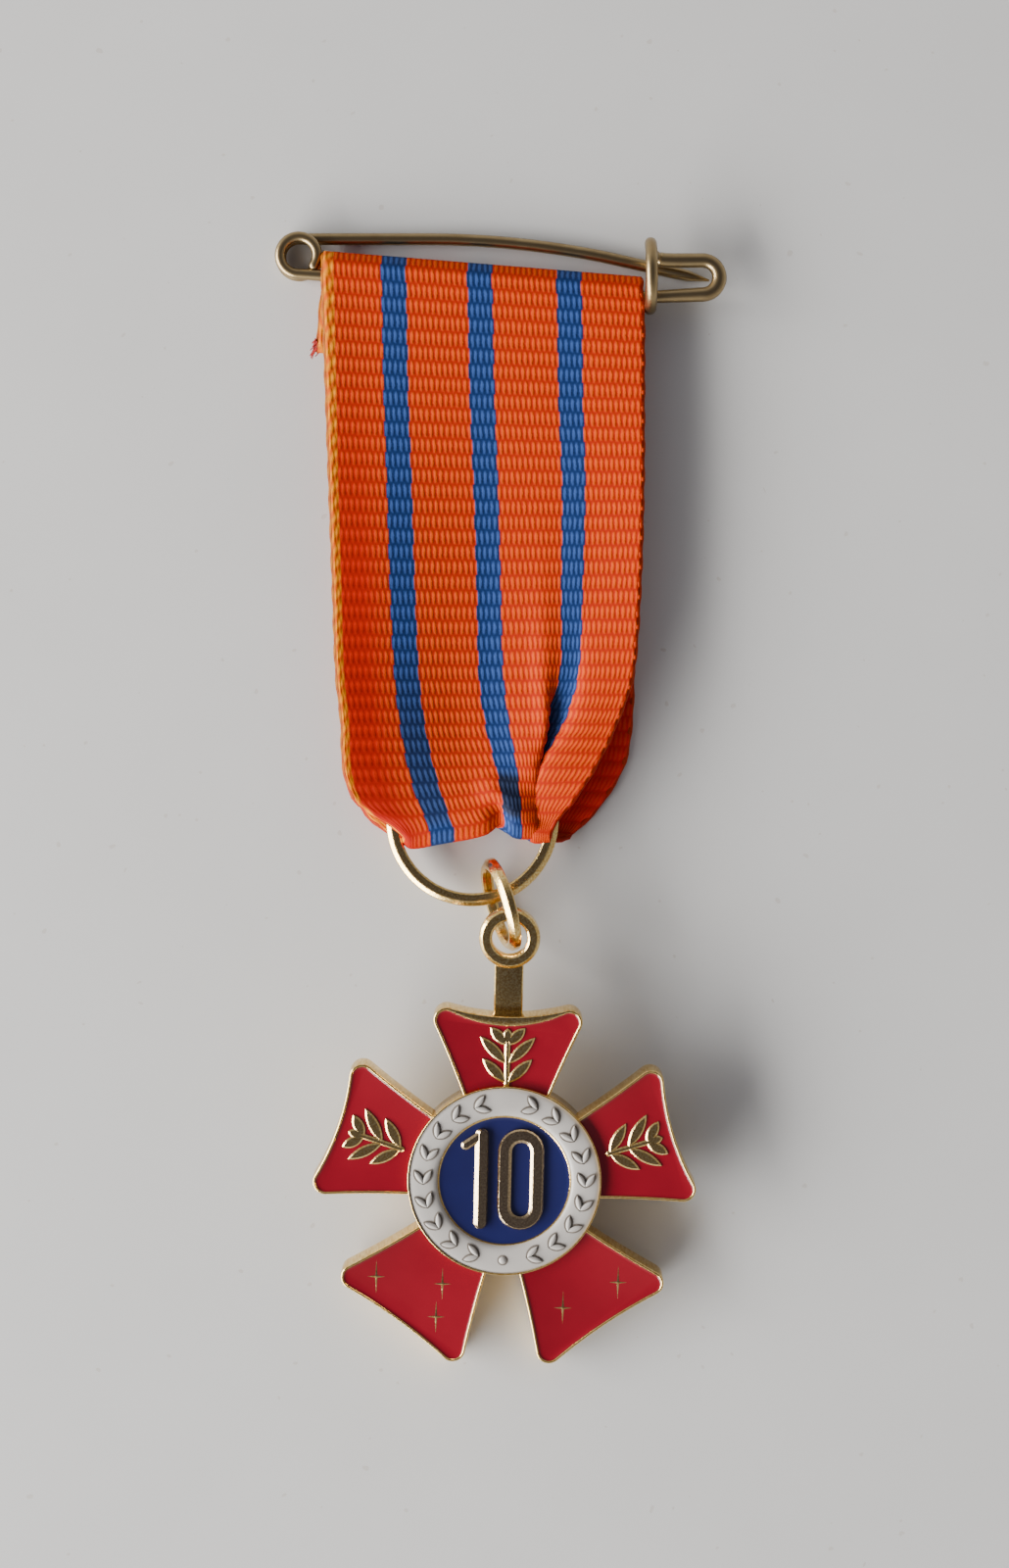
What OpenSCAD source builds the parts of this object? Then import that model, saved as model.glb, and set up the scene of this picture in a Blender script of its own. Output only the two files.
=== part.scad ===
// Participation medal: a pinned, folded ribbon that carries a five-armed enamelled cross.
// It lies on its back. X runs along the pin, Y from the cross up to the pin, Z off the surface.

/* [Pin] */
// Thickness of the pin's wire
pin_wire_d = 0.94; // [0.8:0.01:0.95]
// Radius of the spring coil, to the middle of the wire
coil_r = 1.45; // [1.4:0.01:1.47]
// Length from the middle of the coil to the middle of the catch's bend
pin_len = 31.55; // [31.4:0.05:33]
// Width of the catch between the middles of its two legs
catch_w = 3.0; // [2.8:0.05:3.1]
// Width of the hook over the needle, to the middle of the wire
hook_w = 5.1; // [5:0.05:5.4]
// Height that the hook rises above the catch
hook_rise = 2.7; // [2:0.05:3.5]
// Length of the needle from the middle of the coil to its point
needle_len = 32.1; // [31:0.1:32.5]

/* [Ribbon] */
// Width of the ribbon near the pin
ribbon_w = 24.75; // [24:0.05:24.8]
// Thickness of the ribbon
ribbon_t = 1.0; // [0.8:0.05:1]

/* [Rings] */
// Radius of the jump ring, to the middle of the wire
ring_r = 6.19; // [6.1:0.01:6.3]
// Thickness of the jump ring's wire
ring_wire_d = 0.88; // [0.7:0.01:0.9]
// Radius of the small link, to the middle of the wire
link_r = 3.3; // [3.25:0.01:3.4]
// Thickness of the link's wire
link_wire_d = 0.8; // [0.6:0.01:0.82]
// How steeply the link stands on its edge, in degrees
link_lean = 78; // [76:0.5:80]
// How far the link is turned in plan, in degrees
link_turn = 15.6; // [14:0.2:17]

/* [Cross] */
// Distance from the middle of the cross to the tips of its side arms
arm_reach = 14.83; // [14.5:0.01:15]
// Radius of the arms' rounded corners
corner_r = 1.0; // [0.8:0.05:1.2]
// Angle between the top arm's axis and its corners, in degrees
corner_angle = 20.2; // [19.4:0.2:20.6]
// Distance from the middle of the cross to the dip in a side arm's outer edge
edge_dip = 13.65; // [13.5:0.05:13.7]
// Half of the arm's width where it leaves the medallion
neck_half = 3.25; // [3:0.05:3.4]
// Radius of the hollow in the arms' long sides
side_hollow_r = 80; // [60:1:120]
// Thickness of the cross at its rims
plate_t = 2.1; // [1.9:0.05:2.2]
// Width of the gilt rim round the red enamel
rim_w = 0.42; // [0.35:0.01:0.5]
// Width of the gilt rim under the stem
stem_rim_w = 0.85; // [0.6:0.05:1]
// How far the cross leans up towards its eyelet, in degrees
cross_tilt = 8.1; // [7.6:0.1:8.2]

/* [Medallion] */
// Radius of the round medallion
medallion_r = 7.5; // [7.4:0.01:7.6]
// How far the medallion sits from the middle of the cross towards the stem
medallion_y = 0.3; // [0:0.05:0.4]
// Height of the medallion above the arms' rims
medallion_rise = 0.35; // [0.2:0.05:0.5]
// Radius of the blue disc
disc_r = 5.03; // [4.95:0.01:5.1]
// Width of the thin gilt lines beside the white ring
line_w = 0.13; // [0.1:0.01:0.2]
// Height of the raised numeral
numeral_h = 8; // [7.2:0.1:8]
// Width of the numeral's strokes
numeral_stroke = 1.05; // [0.9:0.05:1.2]

/* [Stem and eyelet] */
// Distance from the middle of the cross to the middle of the eyelet
eyelet_y = 19.1; // [19:0.05:19.2]
// Radius of the eyelet, to the middle of its bar
eyelet_r = 1.85; // [1.8:0.05:1.9]
// Thickness of the eyelet's bar, seen from the front
eyelet_bar = 1.0; // [0.9:0.05:1]
// Thickness of the eyelet from front to back
eyelet_t = 1.35; // [1.2:0.05:1.4]
// Width of the stem
stem_w = 2.25; // [2:0.05:2.5]
// Thickness of the stem
stem_t = 0.75; // [0.6:0.05:0.9]

/* [Hidden] */
ARMS = 5;
$fn = 96;

full_turn = 360;
half_turn = 180;
// Space left round every inlaid piece
inlay_gap = 0.03;
// Clearance between pieces that lie on each other
lay_gap = 0.05;

// Heights of the layers, from the surface up
back_z = ribbon_t / 2;
wire_z = ribbon_t + lay_gap + pin_wire_d / 2;
front_z = 2 * wire_z - back_z;
tail_z = ribbon_t + lay_gap + back_z;
needle_z = pin_wire_d / 2 + lay_gap;
catch_z = needle_z + pin_wire_d + 0.3;

// The pin in plan: its coil, the end of its arm, its catch and its hook
coil_at = [-15.95, 42.15];
arm_end = [11.2, 38.87];
arm_lean = atan2(arm_end[1] - (coil_at[1] - coil_r), arm_end[0] - coil_at[0]);
catch_at = [coil_at[0] + pin_len, arm_end[1] + catch_w / 2];
leg_end_x = 13.1;
hook_at = [11.5, 40.4];
// How far the coil's upper and lower turns go round
upper_turn = 287;
lower_turn = 215;

// The ribbon's top edge, left and right, and the radius of its two folds
ribbon_x = -13.95;
top_left_y = 42.45;
top_right_y = 40.42;
fold_r = (front_z - back_z) / 2;
hem_y = -3.9;

// The jump ring and the link
ring_at = [-2.36, -1.98];
link_at = [-0.15, -8.5];
link_z = link_r * sin(link_lean) + link_wire_d / 2 + lay_gap;

// The outline of one arm of the cross, with its axis along X
arm_step = full_turn / ARMS;
neck_at = [sqrt(pow(medallion_r, 2) - pow(neck_half, 2)), neck_half];
// How the arms differ: what is added to their reach, to their corner angle and to their dip's distance
ARM_SHAPES = [[-0.15, 0, -0.45], [0, -1.6, 0], [0.05, 0.1, 0.1], [0.05, 0.1, 0.1], [0, -1.6, 0]];
TOP_ARM = 0;
LOW_ARM = 2;

// The cross in plan, and how it lies with its two lowest corners on the surface
cross_at = [0.133, -29.77];
cross_spin = -1.26;
low_angle = arm_step / 2 - corner_angle - ARM_SHAPES[LOW_ARM][1] - abs(cross_spin);
low_reach = (arm_reach + ARM_SHAPES[LOW_ARM][0] - corner_r) * cos(low_angle) + corner_r;
cross_z = low_reach * sin(cross_tilt) + lay_gap / 2;

// Levels inside the casting, from its back up
pocket_z = plate_t - 0.55;
red_z = plate_t - 0.12;
medallion_z = plate_t + medallion_rise;
white_floor_z = medallion_z - 0.4;
white_z = medallion_z - 0.03;
wreath_z = white_z + 0.18;
blue_floor_z = medallion_z - 0.8;
blue_z = medallion_z - 0.3;
numeral_z = medallion_z + 0.02;
stem_foot_y = edge_dip + ARM_SHAPES[TOP_ARM][2] - rim_w;
eyelet_z = 0.55;

// Middle of the whole medal in plan
mid_x = (coil_at[0] - coil_r + catch_at[0] + catch_w / 2) / 2;
mid_y = (coil_at[1] + coil_r + pin_wire_d / 2 + cross_at[1] - low_reach * cos(cross_tilt)) / 2;

// Sections of the ribbon's front layer, from near the pin down to the bottom fold, in seven places
// across: left edge, left stripe, middle stripe, panel's edge, pleat's bottom, flap's edge, right edge.
// The columns are y, slant, lift, then x at the seven places, then z at the seven places. Slant is how
// much higher the left edge is than the right one. Lift is the share of the hem's shape that is added.
COL_Y = 0;
COL_SLANT = 1;
COL_LIFT = 2;
COL_X = 3;
COL_Z = 10;
PLACES = 7;
FRONT = [
    [34.0, 1.2, 0.0, -13.75, -8.30, -1.55, 2.20, 4.20, 6.10, 10.95, 2.95, 2.68, 2.65, 2.65, 2.65, 2.70, 2.75],
    [24.0, 0.4, 0.0, -13.35, -8.05, -1.30, 2.45, 4.35, 6.20, 10.90, 3.30, 2.40, 2.20, 2.35, 2.50, 2.70, 3.00],
    [16.1, 0.0, 0.0, -13.05, -7.80, -1.07, 2.60, 4.40, 6.10, 10.66, 3.40, 2.30, 2.15, 2.50, 2.50, 2.80, 3.10],
    [9.6, 0.0, 0.0, -12.80, -7.50, -0.92, 2.90, 4.40, 5.90, 10.10, 3.40, 2.40, 2.40, 2.90, 2.50, 3.00, 3.10],
    [5.6, 0.0, 0.0, -12.40, -7.10, -0.46, 2.60, 3.75, 4.90, 8.75, 3.40, 2.65, 2.70, 3.20, 2.65, 3.30, 3.00],
    [2.1, 0.0, 0.1, -12.00, -6.33, -0.20, 1.90, 3.00, 4.00, 7.10, 3.30, 2.65, 2.70, 3.20, 2.65, 3.30, 2.90],
    [-0.5, 0.0, 0.5, -11.20, -5.80, 0.10, 1.50, 2.40, 3.20, 5.60, 3.10, 2.65, 2.70, 3.10, 2.65, 3.10, 2.80],
    [-1.9, 0.0, 1.0, -9.40, -5.20, 0.00, 1.20, 1.90, 2.60, 4.10, 2.75, 2.62, 2.65, 2.80, 2.65, 2.80, 2.65],
];
// Shares of the ribbon's width at the seven places, where it lies flat
SHARES = [0, 0.22, 0.49, 0.64, 0.72, 0.8, 1];
// How far each place of the hem hangs above its lowest one
HEM_LIFT = [0.45, 0.0, 1.2, 0.7, 0.1, 0.0, 0.0];
// The seven places across the bottom fold, on its front and on its back
HEM_FRONT_X = [-7.3, -4.9, -0.2, 0.9, 1.5, 2.1, 2.75];
HEM_BACK_X = [-10.0, -6.0, -0.4, 1.2, 2.3, 3.7, 6.1];
// Sections of the back layer, from the bottom fold up: y, slant, lift, z, left edge, right edge
BACK = [
    [-0.6, 0.0, 1.0, back_z, -11.45, 8.0],
    [1.6, 0.0, 0.2, back_z, -12.1, 9.3],
    [5.7, 0.0, 0.0, back_z, -12.6, 10.2],
    [16.0, 0.0, 0.0, back_z, -13.1, 10.5],
    [27.0, 0.3, 0.0, back_z, -13.5, 10.7],
    [35.6, 0.6, 0.0, back_z, -13.8, 10.8],
];
// Sections of the tail that laps over the back layer, from its cut end up to the top fold
TAIL = [
    [34.4, 0.5, 0.0, tail_z, -14.5, 10.3],
    [36.0, 0.8, 0.0, tail_z, -14.4, 10.4],
    [37.0, 1.2, 0.0, (tail_z + back_z) / 2, -14.3, 10.5],
    [38.0, 1.6, 0.0, back_z, -14.2, 10.6],
];

// Corners of the raised pieces: five small stars, in the plane of the cross
STARS = [[-9.77, -7.62], [-4.63, -8.1], [-5.08, -10.76], [9.0, -7.68], [4.77, -9.83]];
STAR_ARM = [2, 2, 2, 3, 3];
star_size = [2.8, 2.5];
star_core = 0.3;

function unit(v) = v / norm(v);
function mix(a, b, share) = a + (b - a) * share;

// The point where two circles meet, to the left of the line between their middles
function meet(p, p_r, q, q_r) =
    let (
        d = norm(q - p),
        along = (p_r * p_r - q_r * q_r + d * d) / (2 * d),
        off = sqrt(p_r * p_r - along * along),
        way = unit(q - p)
    )
    p + along * way + off * [-way[1], way[0]];

// A smooth curve through the rows of a list, at row s
function row_at(rows, i) = rows[min(max(i, 0), len(rows) - 1)];
function spline(rows, s) =
    let (
        i = min(floor(s), len(rows) - 2),
        t = s - i,
        a = row_at(rows, i - 1),
        b = row_at(rows, i),
        c = row_at(rows, i + 1),
        d = row_at(rows, i + 2)
    )
    0.5 * (2 * b + (c - a) * t + (2 * a - 5 * b + 4 * c - d) * t * t + (3 * b - a - 3 * c + d) * t * t * t);
function span(row, from) = [for (i = [0 : PLACES - 1]) row[from + i]];

// Every piece is placed from the middle of the medal
module placed() {
    translate([-mid_x, -mid_y, 0]) children();
}

module torus(r, wire_d) {
    rotate_extrude() translate([r, 0]) circle(d = wire_d);
}

// Points on a level circle, from one angle to another
function level_arc(centre, r, z, from, to, steps) = [
    for (i = [0 : steps])
        let (a = mix(from, to, i / steps))
        [centre[0] + r * cos(a), centre[1] + r * sin(a), z]
];

// A round wire along a path, with a radius for each of the path's points
WIRE_SIDES = 12;
function turned(side, along) = unit(side - (side * along) * along);
function tangent(path, i) = unit(row_at(path, i + 1) - row_at(path, i - 1));
function frames(path) = [
    for (
        i = 0, side = turned([0, 0, 1], tangent(path, 0));
        i < len(path);
        i = i + 1, side = turned(side, tangent(path, min(i, len(path) - 1)))
    ) [side, cross(tangent(path, i), side)]
];

module wire(path, radii) {
    across = frames(path);
    last = len(path) - 1;
    points = [
        for (i = [0 : last], k = [0 : WIRE_SIDES - 1])
            let (a = full_turn * k / WIRE_SIDES)
            path[i] + radii[i] * (cos(a) * across[i][0] + sin(a) * across[i][1])
    ];
    sides = [
        for (i = [0 : last - 1], k = [0 : WIRE_SIDES - 1])
            let (a = i * WIRE_SIDES + k, b = i * WIRE_SIDES + (k + 1) % WIRE_SIDES)
            [a, a + WIRE_SIDES, b + WIRE_SIDES, b]
    ];
    start = [for (k = [0 : WIRE_SIDES - 1]) k];
    finish = [for (k = [WIRE_SIDES - 1 : -1 : 0]) last * WIRE_SIDES + k];
    polyhedron(points, concat(sides, [start], [finish]));
}

// The pin's fixed wire: the upper turn of the coil, the arm, the hairpin end and the hook
module pin_body() {
    exit = -90 + arm_lean;
    coil_steps = 24;
    turn = level_arc(coil_at, coil_r, wire_z, exit - upper_turn, exit, coil_steps);
    arm = [for (share = [0.35, 0.7, 1])
        let (start = turn[coil_steps])
        [mix(start[0], arm_end[0], share), mix(start[1], arm_end[1], share), wire_z]
    ];
    bend = level_arc(catch_at, catch_w / 2, catch_z, -90, 90, 10);
    leg_y = catch_at[1] + catch_w / 2;
    hook_z = catch_z + 0.4;
    rise = [
        [leg_end_x, leg_y, catch_z],
        [mix(leg_end_x, hook_at[0], 0.55), leg_y + 0.1, catch_z + 0.1],
        [mix(leg_end_x, hook_at[0], 0.9), leg_y + 0.5, catch_z + 0.5],
    ];
    hook = [
        for (a = [20 : 30 : 200])
            [hook_at[0], hook_at[1] + hook_w / 2 * cos(a), hook_z + hook_rise * sin(a)]
    ];
    bent = concat([bend[10]], rise, hook);
    rounded = [for (k = [1 : 2 * (len(bent) - 1)]) spline(bent, k / 2)];
    path = concat(turn, arm, bend, rounded);
    color("darkkhaki") placed() wire(path, [for (p = path) pin_wire_d / 2]);
}

// The pin's moving wire: the lower turn of the coil and the bowed needle with its point
module pin_needle() {
    coil_steps = 18;
    needle_steps = 24;
    bow_r = 90;
    bow_from_x = -10.5;
    point_len = 4.5;
    point_r = 0.1;
    wire_r = pin_wire_d / 2;
    turn = level_arc(coil_at, coil_r, needle_z, 90 + lower_turn, 90, coil_steps);
    needle = [
        for (i = [1 : needle_steps])
            let (x = coil_at[0] + needle_len * i / needle_steps, past = max(x - bow_from_x, 0))
            [x, coil_at[1] + coil_r - past * past / (2 * bow_r), needle_z]
    ];
    path = concat(turn, needle);
    point_x = coil_at[0] + needle_len - point_len;
    radii = [for (p = path) mix(wire_r, point_r, max(p[0] - point_x, 0) / point_len)];
    color("khaki") placed() wire(path, radii);
}

// Points across the ribbon for one section, from its x, y and z at the seven places
FINE = 3;
function fine_row(xs, ys, zs) = [
    for (k = [0 : (PLACES - 1) * FINE])
        let (s = k / FINE)
        [spline(xs, s), spline(ys, s), spline(zs, s)]
];
function front_row(s) =
    let (
        row = spline(FRONT, s),
        ys = [for (i = [0 : PLACES - 1]) row[COL_Y] + row[COL_SLANT] * (0.5 - SHARES[i]) + row[COL_LIFT] * HEM_LIFT[i]]
    )
    fine_row(span(row, COL_X), ys, span(row, COL_Z));
function flat_row(row) = fine_row(
    [for (share = SHARES) mix(row[4], row[5], share)],
    [for (i = [0 : PLACES - 1]) row[COL_Y] + row[COL_SLANT] * (0.5 - SHARES[i]) + row[COL_LIFT] * HEM_LIFT[i]],
    [for (share = SHARES) row[3]]
);
// The top fold, from the back over to the front, and the bottom fold, from the front to the back
function top_row(a) = fine_row(
    [for (share = SHARES) ribbon_x + ribbon_w * share],
    [for (share = SHARES) mix(top_left_y, top_right_y, share) - back_z - fold_r + fold_r * sin(a)],
    [for (share = SHARES) wire_z + fold_r * cos(a)]
);
function hem_row(a) = fine_row(
    [for (i = [0 : PLACES - 1]) mix(HEM_FRONT_X[i], HEM_BACK_X[i], pow(max(a - 90, 0) / 90, 3))],
    [for (i = [0 : PLACES - 1]) hem_y + HEM_LIFT[i] + back_z + fold_r - fold_r * sin(a)],
    [for (i = [0 : PLACES - 1]) wire_z + fold_r * cos(a)]
);

// The ribbon as one closed wall round its middle surface
module ribbon() {
    fold_step = 30;
    rows = concat(
        [for (row = TAIL) flat_row(row)],
        [for (a = [half_turn : -fold_step : 0]) top_row(a)],
        [for (k = [0 : 2 * (len(FRONT) - 1)]) front_row(k / 2)],
        [for (a = [0 : fold_step : half_turn]) hem_row(a)],
        [for (row = BACK) flat_row(row)]
    );
    count = len(rows);
    wide = len(rows[0]);
    skins = [
        for (side = [1, -1], i = [0 : count - 1], k = [0 : wide - 1])
            let (
                along = row_at(rows, i + 1)[k] - row_at(rows, i - 1)[k],
                aside = row_at(rows[i], k + 1) - row_at(rows[i], k - 1)
            )
            rows[i][k] + side * ribbon_t / 2 * unit(cross(along, aside))
    ];
    inner = count * wide;
    cells = [for (i = [0 : count - 2], k = [0 : wide - 2]) i * wide + k];
    outer_faces = [for (c = cells, half = [0, 1])
        half == 0 ? [c, c + 1, c + wide] : [c + 1, c + wide + 1, c + wide]];
    inner_faces = [for (f = outer_faces) [f[2] + inner, f[1] + inner, f[0] + inner]];
    left = [for (i = [0 : count - 2]) let (c = i * wide) [c, c + wide, c + wide + inner, c + inner]];
    right = [
        for (i = [0 : count - 2])
            let (c = i * wide + wide - 1)
            [c, c + inner, c + wide + inner, c + wide]
    ];
    first = [for (k = [0 : wide - 2]) [k, k + inner, k + 1 + inner, k + 1]];
    last = [
        for (k = [0 : wide - 2])
            let (c = (count - 1) * wide + k)
            [c, c + 1, c + 1 + inner, c + inner]
    ];
    color("orangered") placed() polyhedron(skins, concat(outer_faces, inner_faces, left, right, first, last));
}

module ribbon_ring() {
    color("palegoldenrod") placed() translate([ring_at[0], ring_at[1], wire_z]) torus(ring_r, ring_wire_d);
}

module link_ring() {
    color("khaki") placed()
        translate([link_at[0], link_at[1], link_z])
            rotate([link_lean, 0, link_turn - 90])
                torus(link_r, link_wire_d);
}

// The pendant's own frame: the middle of the cross's back, with the first arm along Y
module pendant() {
    placed() translate([cross_at[0], cross_at[1], cross_z]) rotate([cross_tilt, 0, 0]) rotate(cross_spin) children();
}

// The middle of the medallion
module on_medallion() {
    translate([0, medallion_y, 0]) children();
}

// Points on a circle from one direction to another, without the first point
function arc_2d(centre, r, from, to, steps) =
    let (first = atan2(from[1], from[0]), turn = atan2(to[1], to[0]) - first)
    [for (i = [1 : steps]) centre + r * [cos(first + turn * i / steps), sin(first + turn * i / steps)]];

// One arm along X, with its long sides moved in by inset and its outer edge by dip_inset
module arm_2d(arm, inset, dip_inset) {
    steps = 12;
    shape = ARM_SHAPES[arm];
    angle = corner_angle + shape[1];
    corner_at = (arm_reach + shape[0] - corner_r) * [cos(angle), sin(angle)];
    corner = corner_r - inset;
    dip = edge_dip + shape[2] - dip_inset;
    dip_depth = dip - corner_at[0];
    edge_r = (pow(dip_depth, 2) + pow(corner_at[1], 2) - pow(corner, 2)) / (2 * (corner - dip_depth));
    edge_at = [dip + edge_r, 0];
    side_at = meet(neck_at, side_hollow_r, corner_at, side_hollow_r + corner_r);
    side_r = side_hollow_r + inset;
    half = concat(
        [[0, neck_half - inset], side_at + side_r * unit(neck_at - side_at)],
        arc_2d(side_at, side_r, neck_at - side_at, corner_at - side_at, steps),
        arc_2d(corner_at, corner, side_at - corner_at, edge_at - corner_at, steps),
        arc_2d(edge_at, edge_r, corner_at - edge_at, [-1, 0], steps)
    );
    polygon(concat(half, [for (i = [len(half) - 2 : -1 : 0]) [half[i][0], -half[i][1]]]));
}

function dip_inset(arm) = arm == TOP_ARM ? stem_rim_w : rim_w;
module on_arm(arm) {
    rotate(90 + arm_step * arm) children();
}

// A stroke with round ends
module stroke_2d(from, to, w) {
    for (end = [from, to]) translate(end) circle(d = w);
    way = to - from;
    translate(from) rotate(atan2(way[1], way[0])) translate([0, -w / 2]) square([norm(way), w]);
}

// A pointed leaf along X from the origin
module leaf_2d(long, wide) {
    steps = 6;
    upper = [for (i = [0 : steps]) [long * i / steps, wide / 2 * sin(half_turn * i / steps)]];
    lower = [for (i = [steps - 1 : -1 : 1]) [long * i / steps, -wide / 2 * sin(half_turn * i / steps)]];
    polygon(concat(upper, lower));
}

// A laurel sprig along an arm, made wider all round by grow
module sprig_2d(grow) {
    // Columns: distance from the middle of the cross, length of the pair's leaves
    pairs = [[8.45, 2.7], [9.95, 3.0], [11.45, 1.9]];
    leaf_w = 0.85;
    leaf_angle = 45;
    tip = 11.5;
    stroke_2d([8.4, 0], [tip, 0], 0.42 + 2 * grow);
    translate([tip - grow, 0]) leaf_2d(1.2 + 2 * grow, 0.75 + 2 * grow);
    for (pair = pairs, side = [-1, 1])
        translate([pair[0], 0]) rotate(side * leaf_angle) translate([-grow, 0]) leaf_2d(pair[1] + 2 * grow, leaf_w + 2 * grow);
}

module star_2d(grow) {
    reach = star_size / 2 + [2 * grow, 2 * grow];
    core = star_core / 2 + grow;
    polygon([
        [reach[0], 0], [core, core], [0, reach[1]], [-core, core],
        [-reach[0], 0], [-core, -core], [0, -reach[1]], [core, -core]
    ]);
}

// Everything that stands up through one arm's enamel
module arm_relief_2d(arm, grow) {
    for (i = [0 : len(STARS) - 1]) if (STAR_ARM[i] == arm) translate(STARS[i]) star_2d(grow);
    if (arm != 2 && arm != 3) on_arm(arm) sprig_2d(grow);
}

// The plain numeral of the medallion, made wider all round by grow
module numeral_2d(grow) {
    one_at = [-1.79, 0.44];
    nought_at = [1.25, 0.46];
    nought_w = 3.55;
    w = numeral_stroke;
    half = numeral_h / 2;
    translate(one_at) {
        translate([-w / 2 - grow, -half + w / 2]) square([w + 2 * grow, numeral_h - w / 2 + grow]);
        translate([0, -half + w / 2]) circle(w / 2 + grow);
        stroke_2d([0, half - 0.42], [-1.25, half - 1.35], 0.66 + 2 * grow);
    }
    end = half - nought_w / 2;
    translate(nought_at) difference() {
        stroke_2d([0, -end], [0, end], nought_w + 2 * grow);
        stroke_2d([0, -end], [0, end], nought_w - 2 * w - 2 * grow);
    }
}

// The gilt casting: five arms, medallion, raised work, stem and eyelet
module medal_cross() {
    color("goldenrod") pendant() {
        difference() {
            linear_extrude(plate_t) for (arm = [0 : ARMS - 1]) on_arm(arm) arm_2d(arm, 0, 0);
            for (arm = [0 : ARMS - 1])
                translate([0, 0, pocket_z]) linear_extrude(plate_t) difference() {
                    on_arm(arm) arm_2d(arm, rim_w, dip_inset(arm));
                    on_medallion() circle(medallion_r - line_w);
                    arm_relief_2d(arm, 0);
                }
            on_medallion() translate([0, 0, plate_t / 4]) cylinder(h = plate_t, r = medallion_r - line_w / 2);
        }
        on_medallion() difference() {
            cylinder(h = medallion_z, r = medallion_r);
            translate([0, 0, blue_floor_z]) cylinder(h = plate_t, r = disc_r);
            translate([0, 0, white_floor_z]) linear_extrude(plate_t) difference() {
                circle(medallion_r - line_w);
                circle(disc_r + line_w);
            }
        }
        translate([0, 0, blue_floor_z - line_w]) linear_extrude(numeral_z - blue_floor_z + line_w) numeral_2d(0);
        translate([-stem_w / 2, stem_foot_y, 0]) cube([stem_w, eyelet_y - eyelet_r - stem_foot_y, stem_t]);
        translate([0, eyelet_y, eyelet_z])
            rotate_extrude() translate([eyelet_r, 0]) {
                side = (eyelet_t - eyelet_bar) / 2;
                stroke_2d([0, -side], [0, side], eyelet_bar);
            }
    }
}

// The red enamel of one arm, poured round its raised work
module arm_enamel(arm) {
    color("crimson") pendant()
        translate([0, 0, pocket_z + inlay_gap]) linear_extrude(red_z - pocket_z - inlay_gap) difference() {
            on_arm(arm) arm_2d(arm, rim_w + inlay_gap, dip_inset(arm) + inlay_gap);
            on_medallion() circle(medallion_r + inlay_gap);
            arm_relief_2d(arm, inlay_gap);
        }
}

// The white ring with a raised laurel wreath that starts at a bead
module white_ring() {
    outer = medallion_r - line_w - inlay_gap;
    inner = disc_r + line_w + inlay_gap;
    middle = (outer + inner) / 2;
    leaf_pairs = 9;
    pair_step = 17.5;
    color("white") pendant() on_medallion() {
        translate([0, 0, white_floor_z + inlay_gap]) linear_extrude(white_z - white_floor_z - inlay_gap) difference() {
            circle(outer);
            circle(inner);
        }
        translate([0, 0, white_z - inlay_gap]) linear_extrude(wreath_z - white_z + inlay_gap) {
            translate([0, -middle]) circle(d = 0.55);
            for (half = [-1, 1], pair = [1 : leaf_pairs])
                rotate(half * pair_step * pair - 90) translate([middle, 0]) {
                    circle(d = 0.3);
                    for (side = [-1, 1]) rotate(half * (90 + side * 32)) leaf_2d(1.2, 0.42);
                }
        }
    }
}

module blue_disc() {
    color("mediumblue") pendant()
        translate([0, 0, blue_floor_z + inlay_gap]) linear_extrude(blue_z - blue_floor_z - inlay_gap) difference() {
            on_medallion() circle(disc_r - inlay_gap);
            numeral_2d(inlay_gap);
        }
}

pin_body();
pin_needle();
ribbon();
ribbon_ring();
link_ring();
medal_cross();
for (arm = [0 : ARMS - 1]) arm_enamel(arm);
white_ring();
blue_disc();
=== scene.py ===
import math

import bmesh
import bpy
from mathutils import Matrix, Vector


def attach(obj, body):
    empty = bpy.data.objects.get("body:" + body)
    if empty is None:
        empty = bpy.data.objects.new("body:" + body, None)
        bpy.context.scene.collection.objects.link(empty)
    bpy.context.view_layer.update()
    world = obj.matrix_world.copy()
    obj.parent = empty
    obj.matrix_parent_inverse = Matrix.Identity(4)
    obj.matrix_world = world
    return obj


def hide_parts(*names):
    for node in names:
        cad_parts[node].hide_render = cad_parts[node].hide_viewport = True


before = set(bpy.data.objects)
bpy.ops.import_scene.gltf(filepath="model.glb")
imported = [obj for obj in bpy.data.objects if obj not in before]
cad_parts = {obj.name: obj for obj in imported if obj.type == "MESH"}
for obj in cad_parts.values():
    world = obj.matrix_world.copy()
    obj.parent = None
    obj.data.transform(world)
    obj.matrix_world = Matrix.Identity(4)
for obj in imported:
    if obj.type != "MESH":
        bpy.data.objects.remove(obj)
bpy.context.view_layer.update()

# The camera hangs over the medal and looks straight down on it, with the pin at the top of the picture.
# It is close enough for the far ends of the medal to be seen a little from the side.
camera_data = bpy.data.cameras.new("camera")
camera_data.sensor_fit = "VERTICAL"
camera_data.sensor_height = 24
camera_data.lens = 42.8
camera_data.clip_start = 0.01
camera = bpy.data.objects.new("camera", camera_data)
camera.location = (0.0003, 0.00084, 0.22)
bpy.context.scene.collection.objects.link(camera)
bpy.context.scene.camera = camera


# The medal lies on a pale grey table top, a smooth sheet with a faint mottle and a few warm specks.
# It is only the stage of the picture.
def new_material(name):
    """A material with an empty node tree, and the shader that ends it."""
    material = bpy.data.materials.new(name)
    material.use_nodes = True
    return material, material.node_tree, material.node_tree.nodes["Principled BSDF"]


def set_inputs(tree, node, values):
    """Links or sets the inputs of a node, by their names or numbers."""
    for name, value in values.items():
        if isinstance(value, bpy.types.NodeSocket):
            tree.links.new(value, node.inputs[name])
        else:
            node.inputs[name].default_value = value


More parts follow.
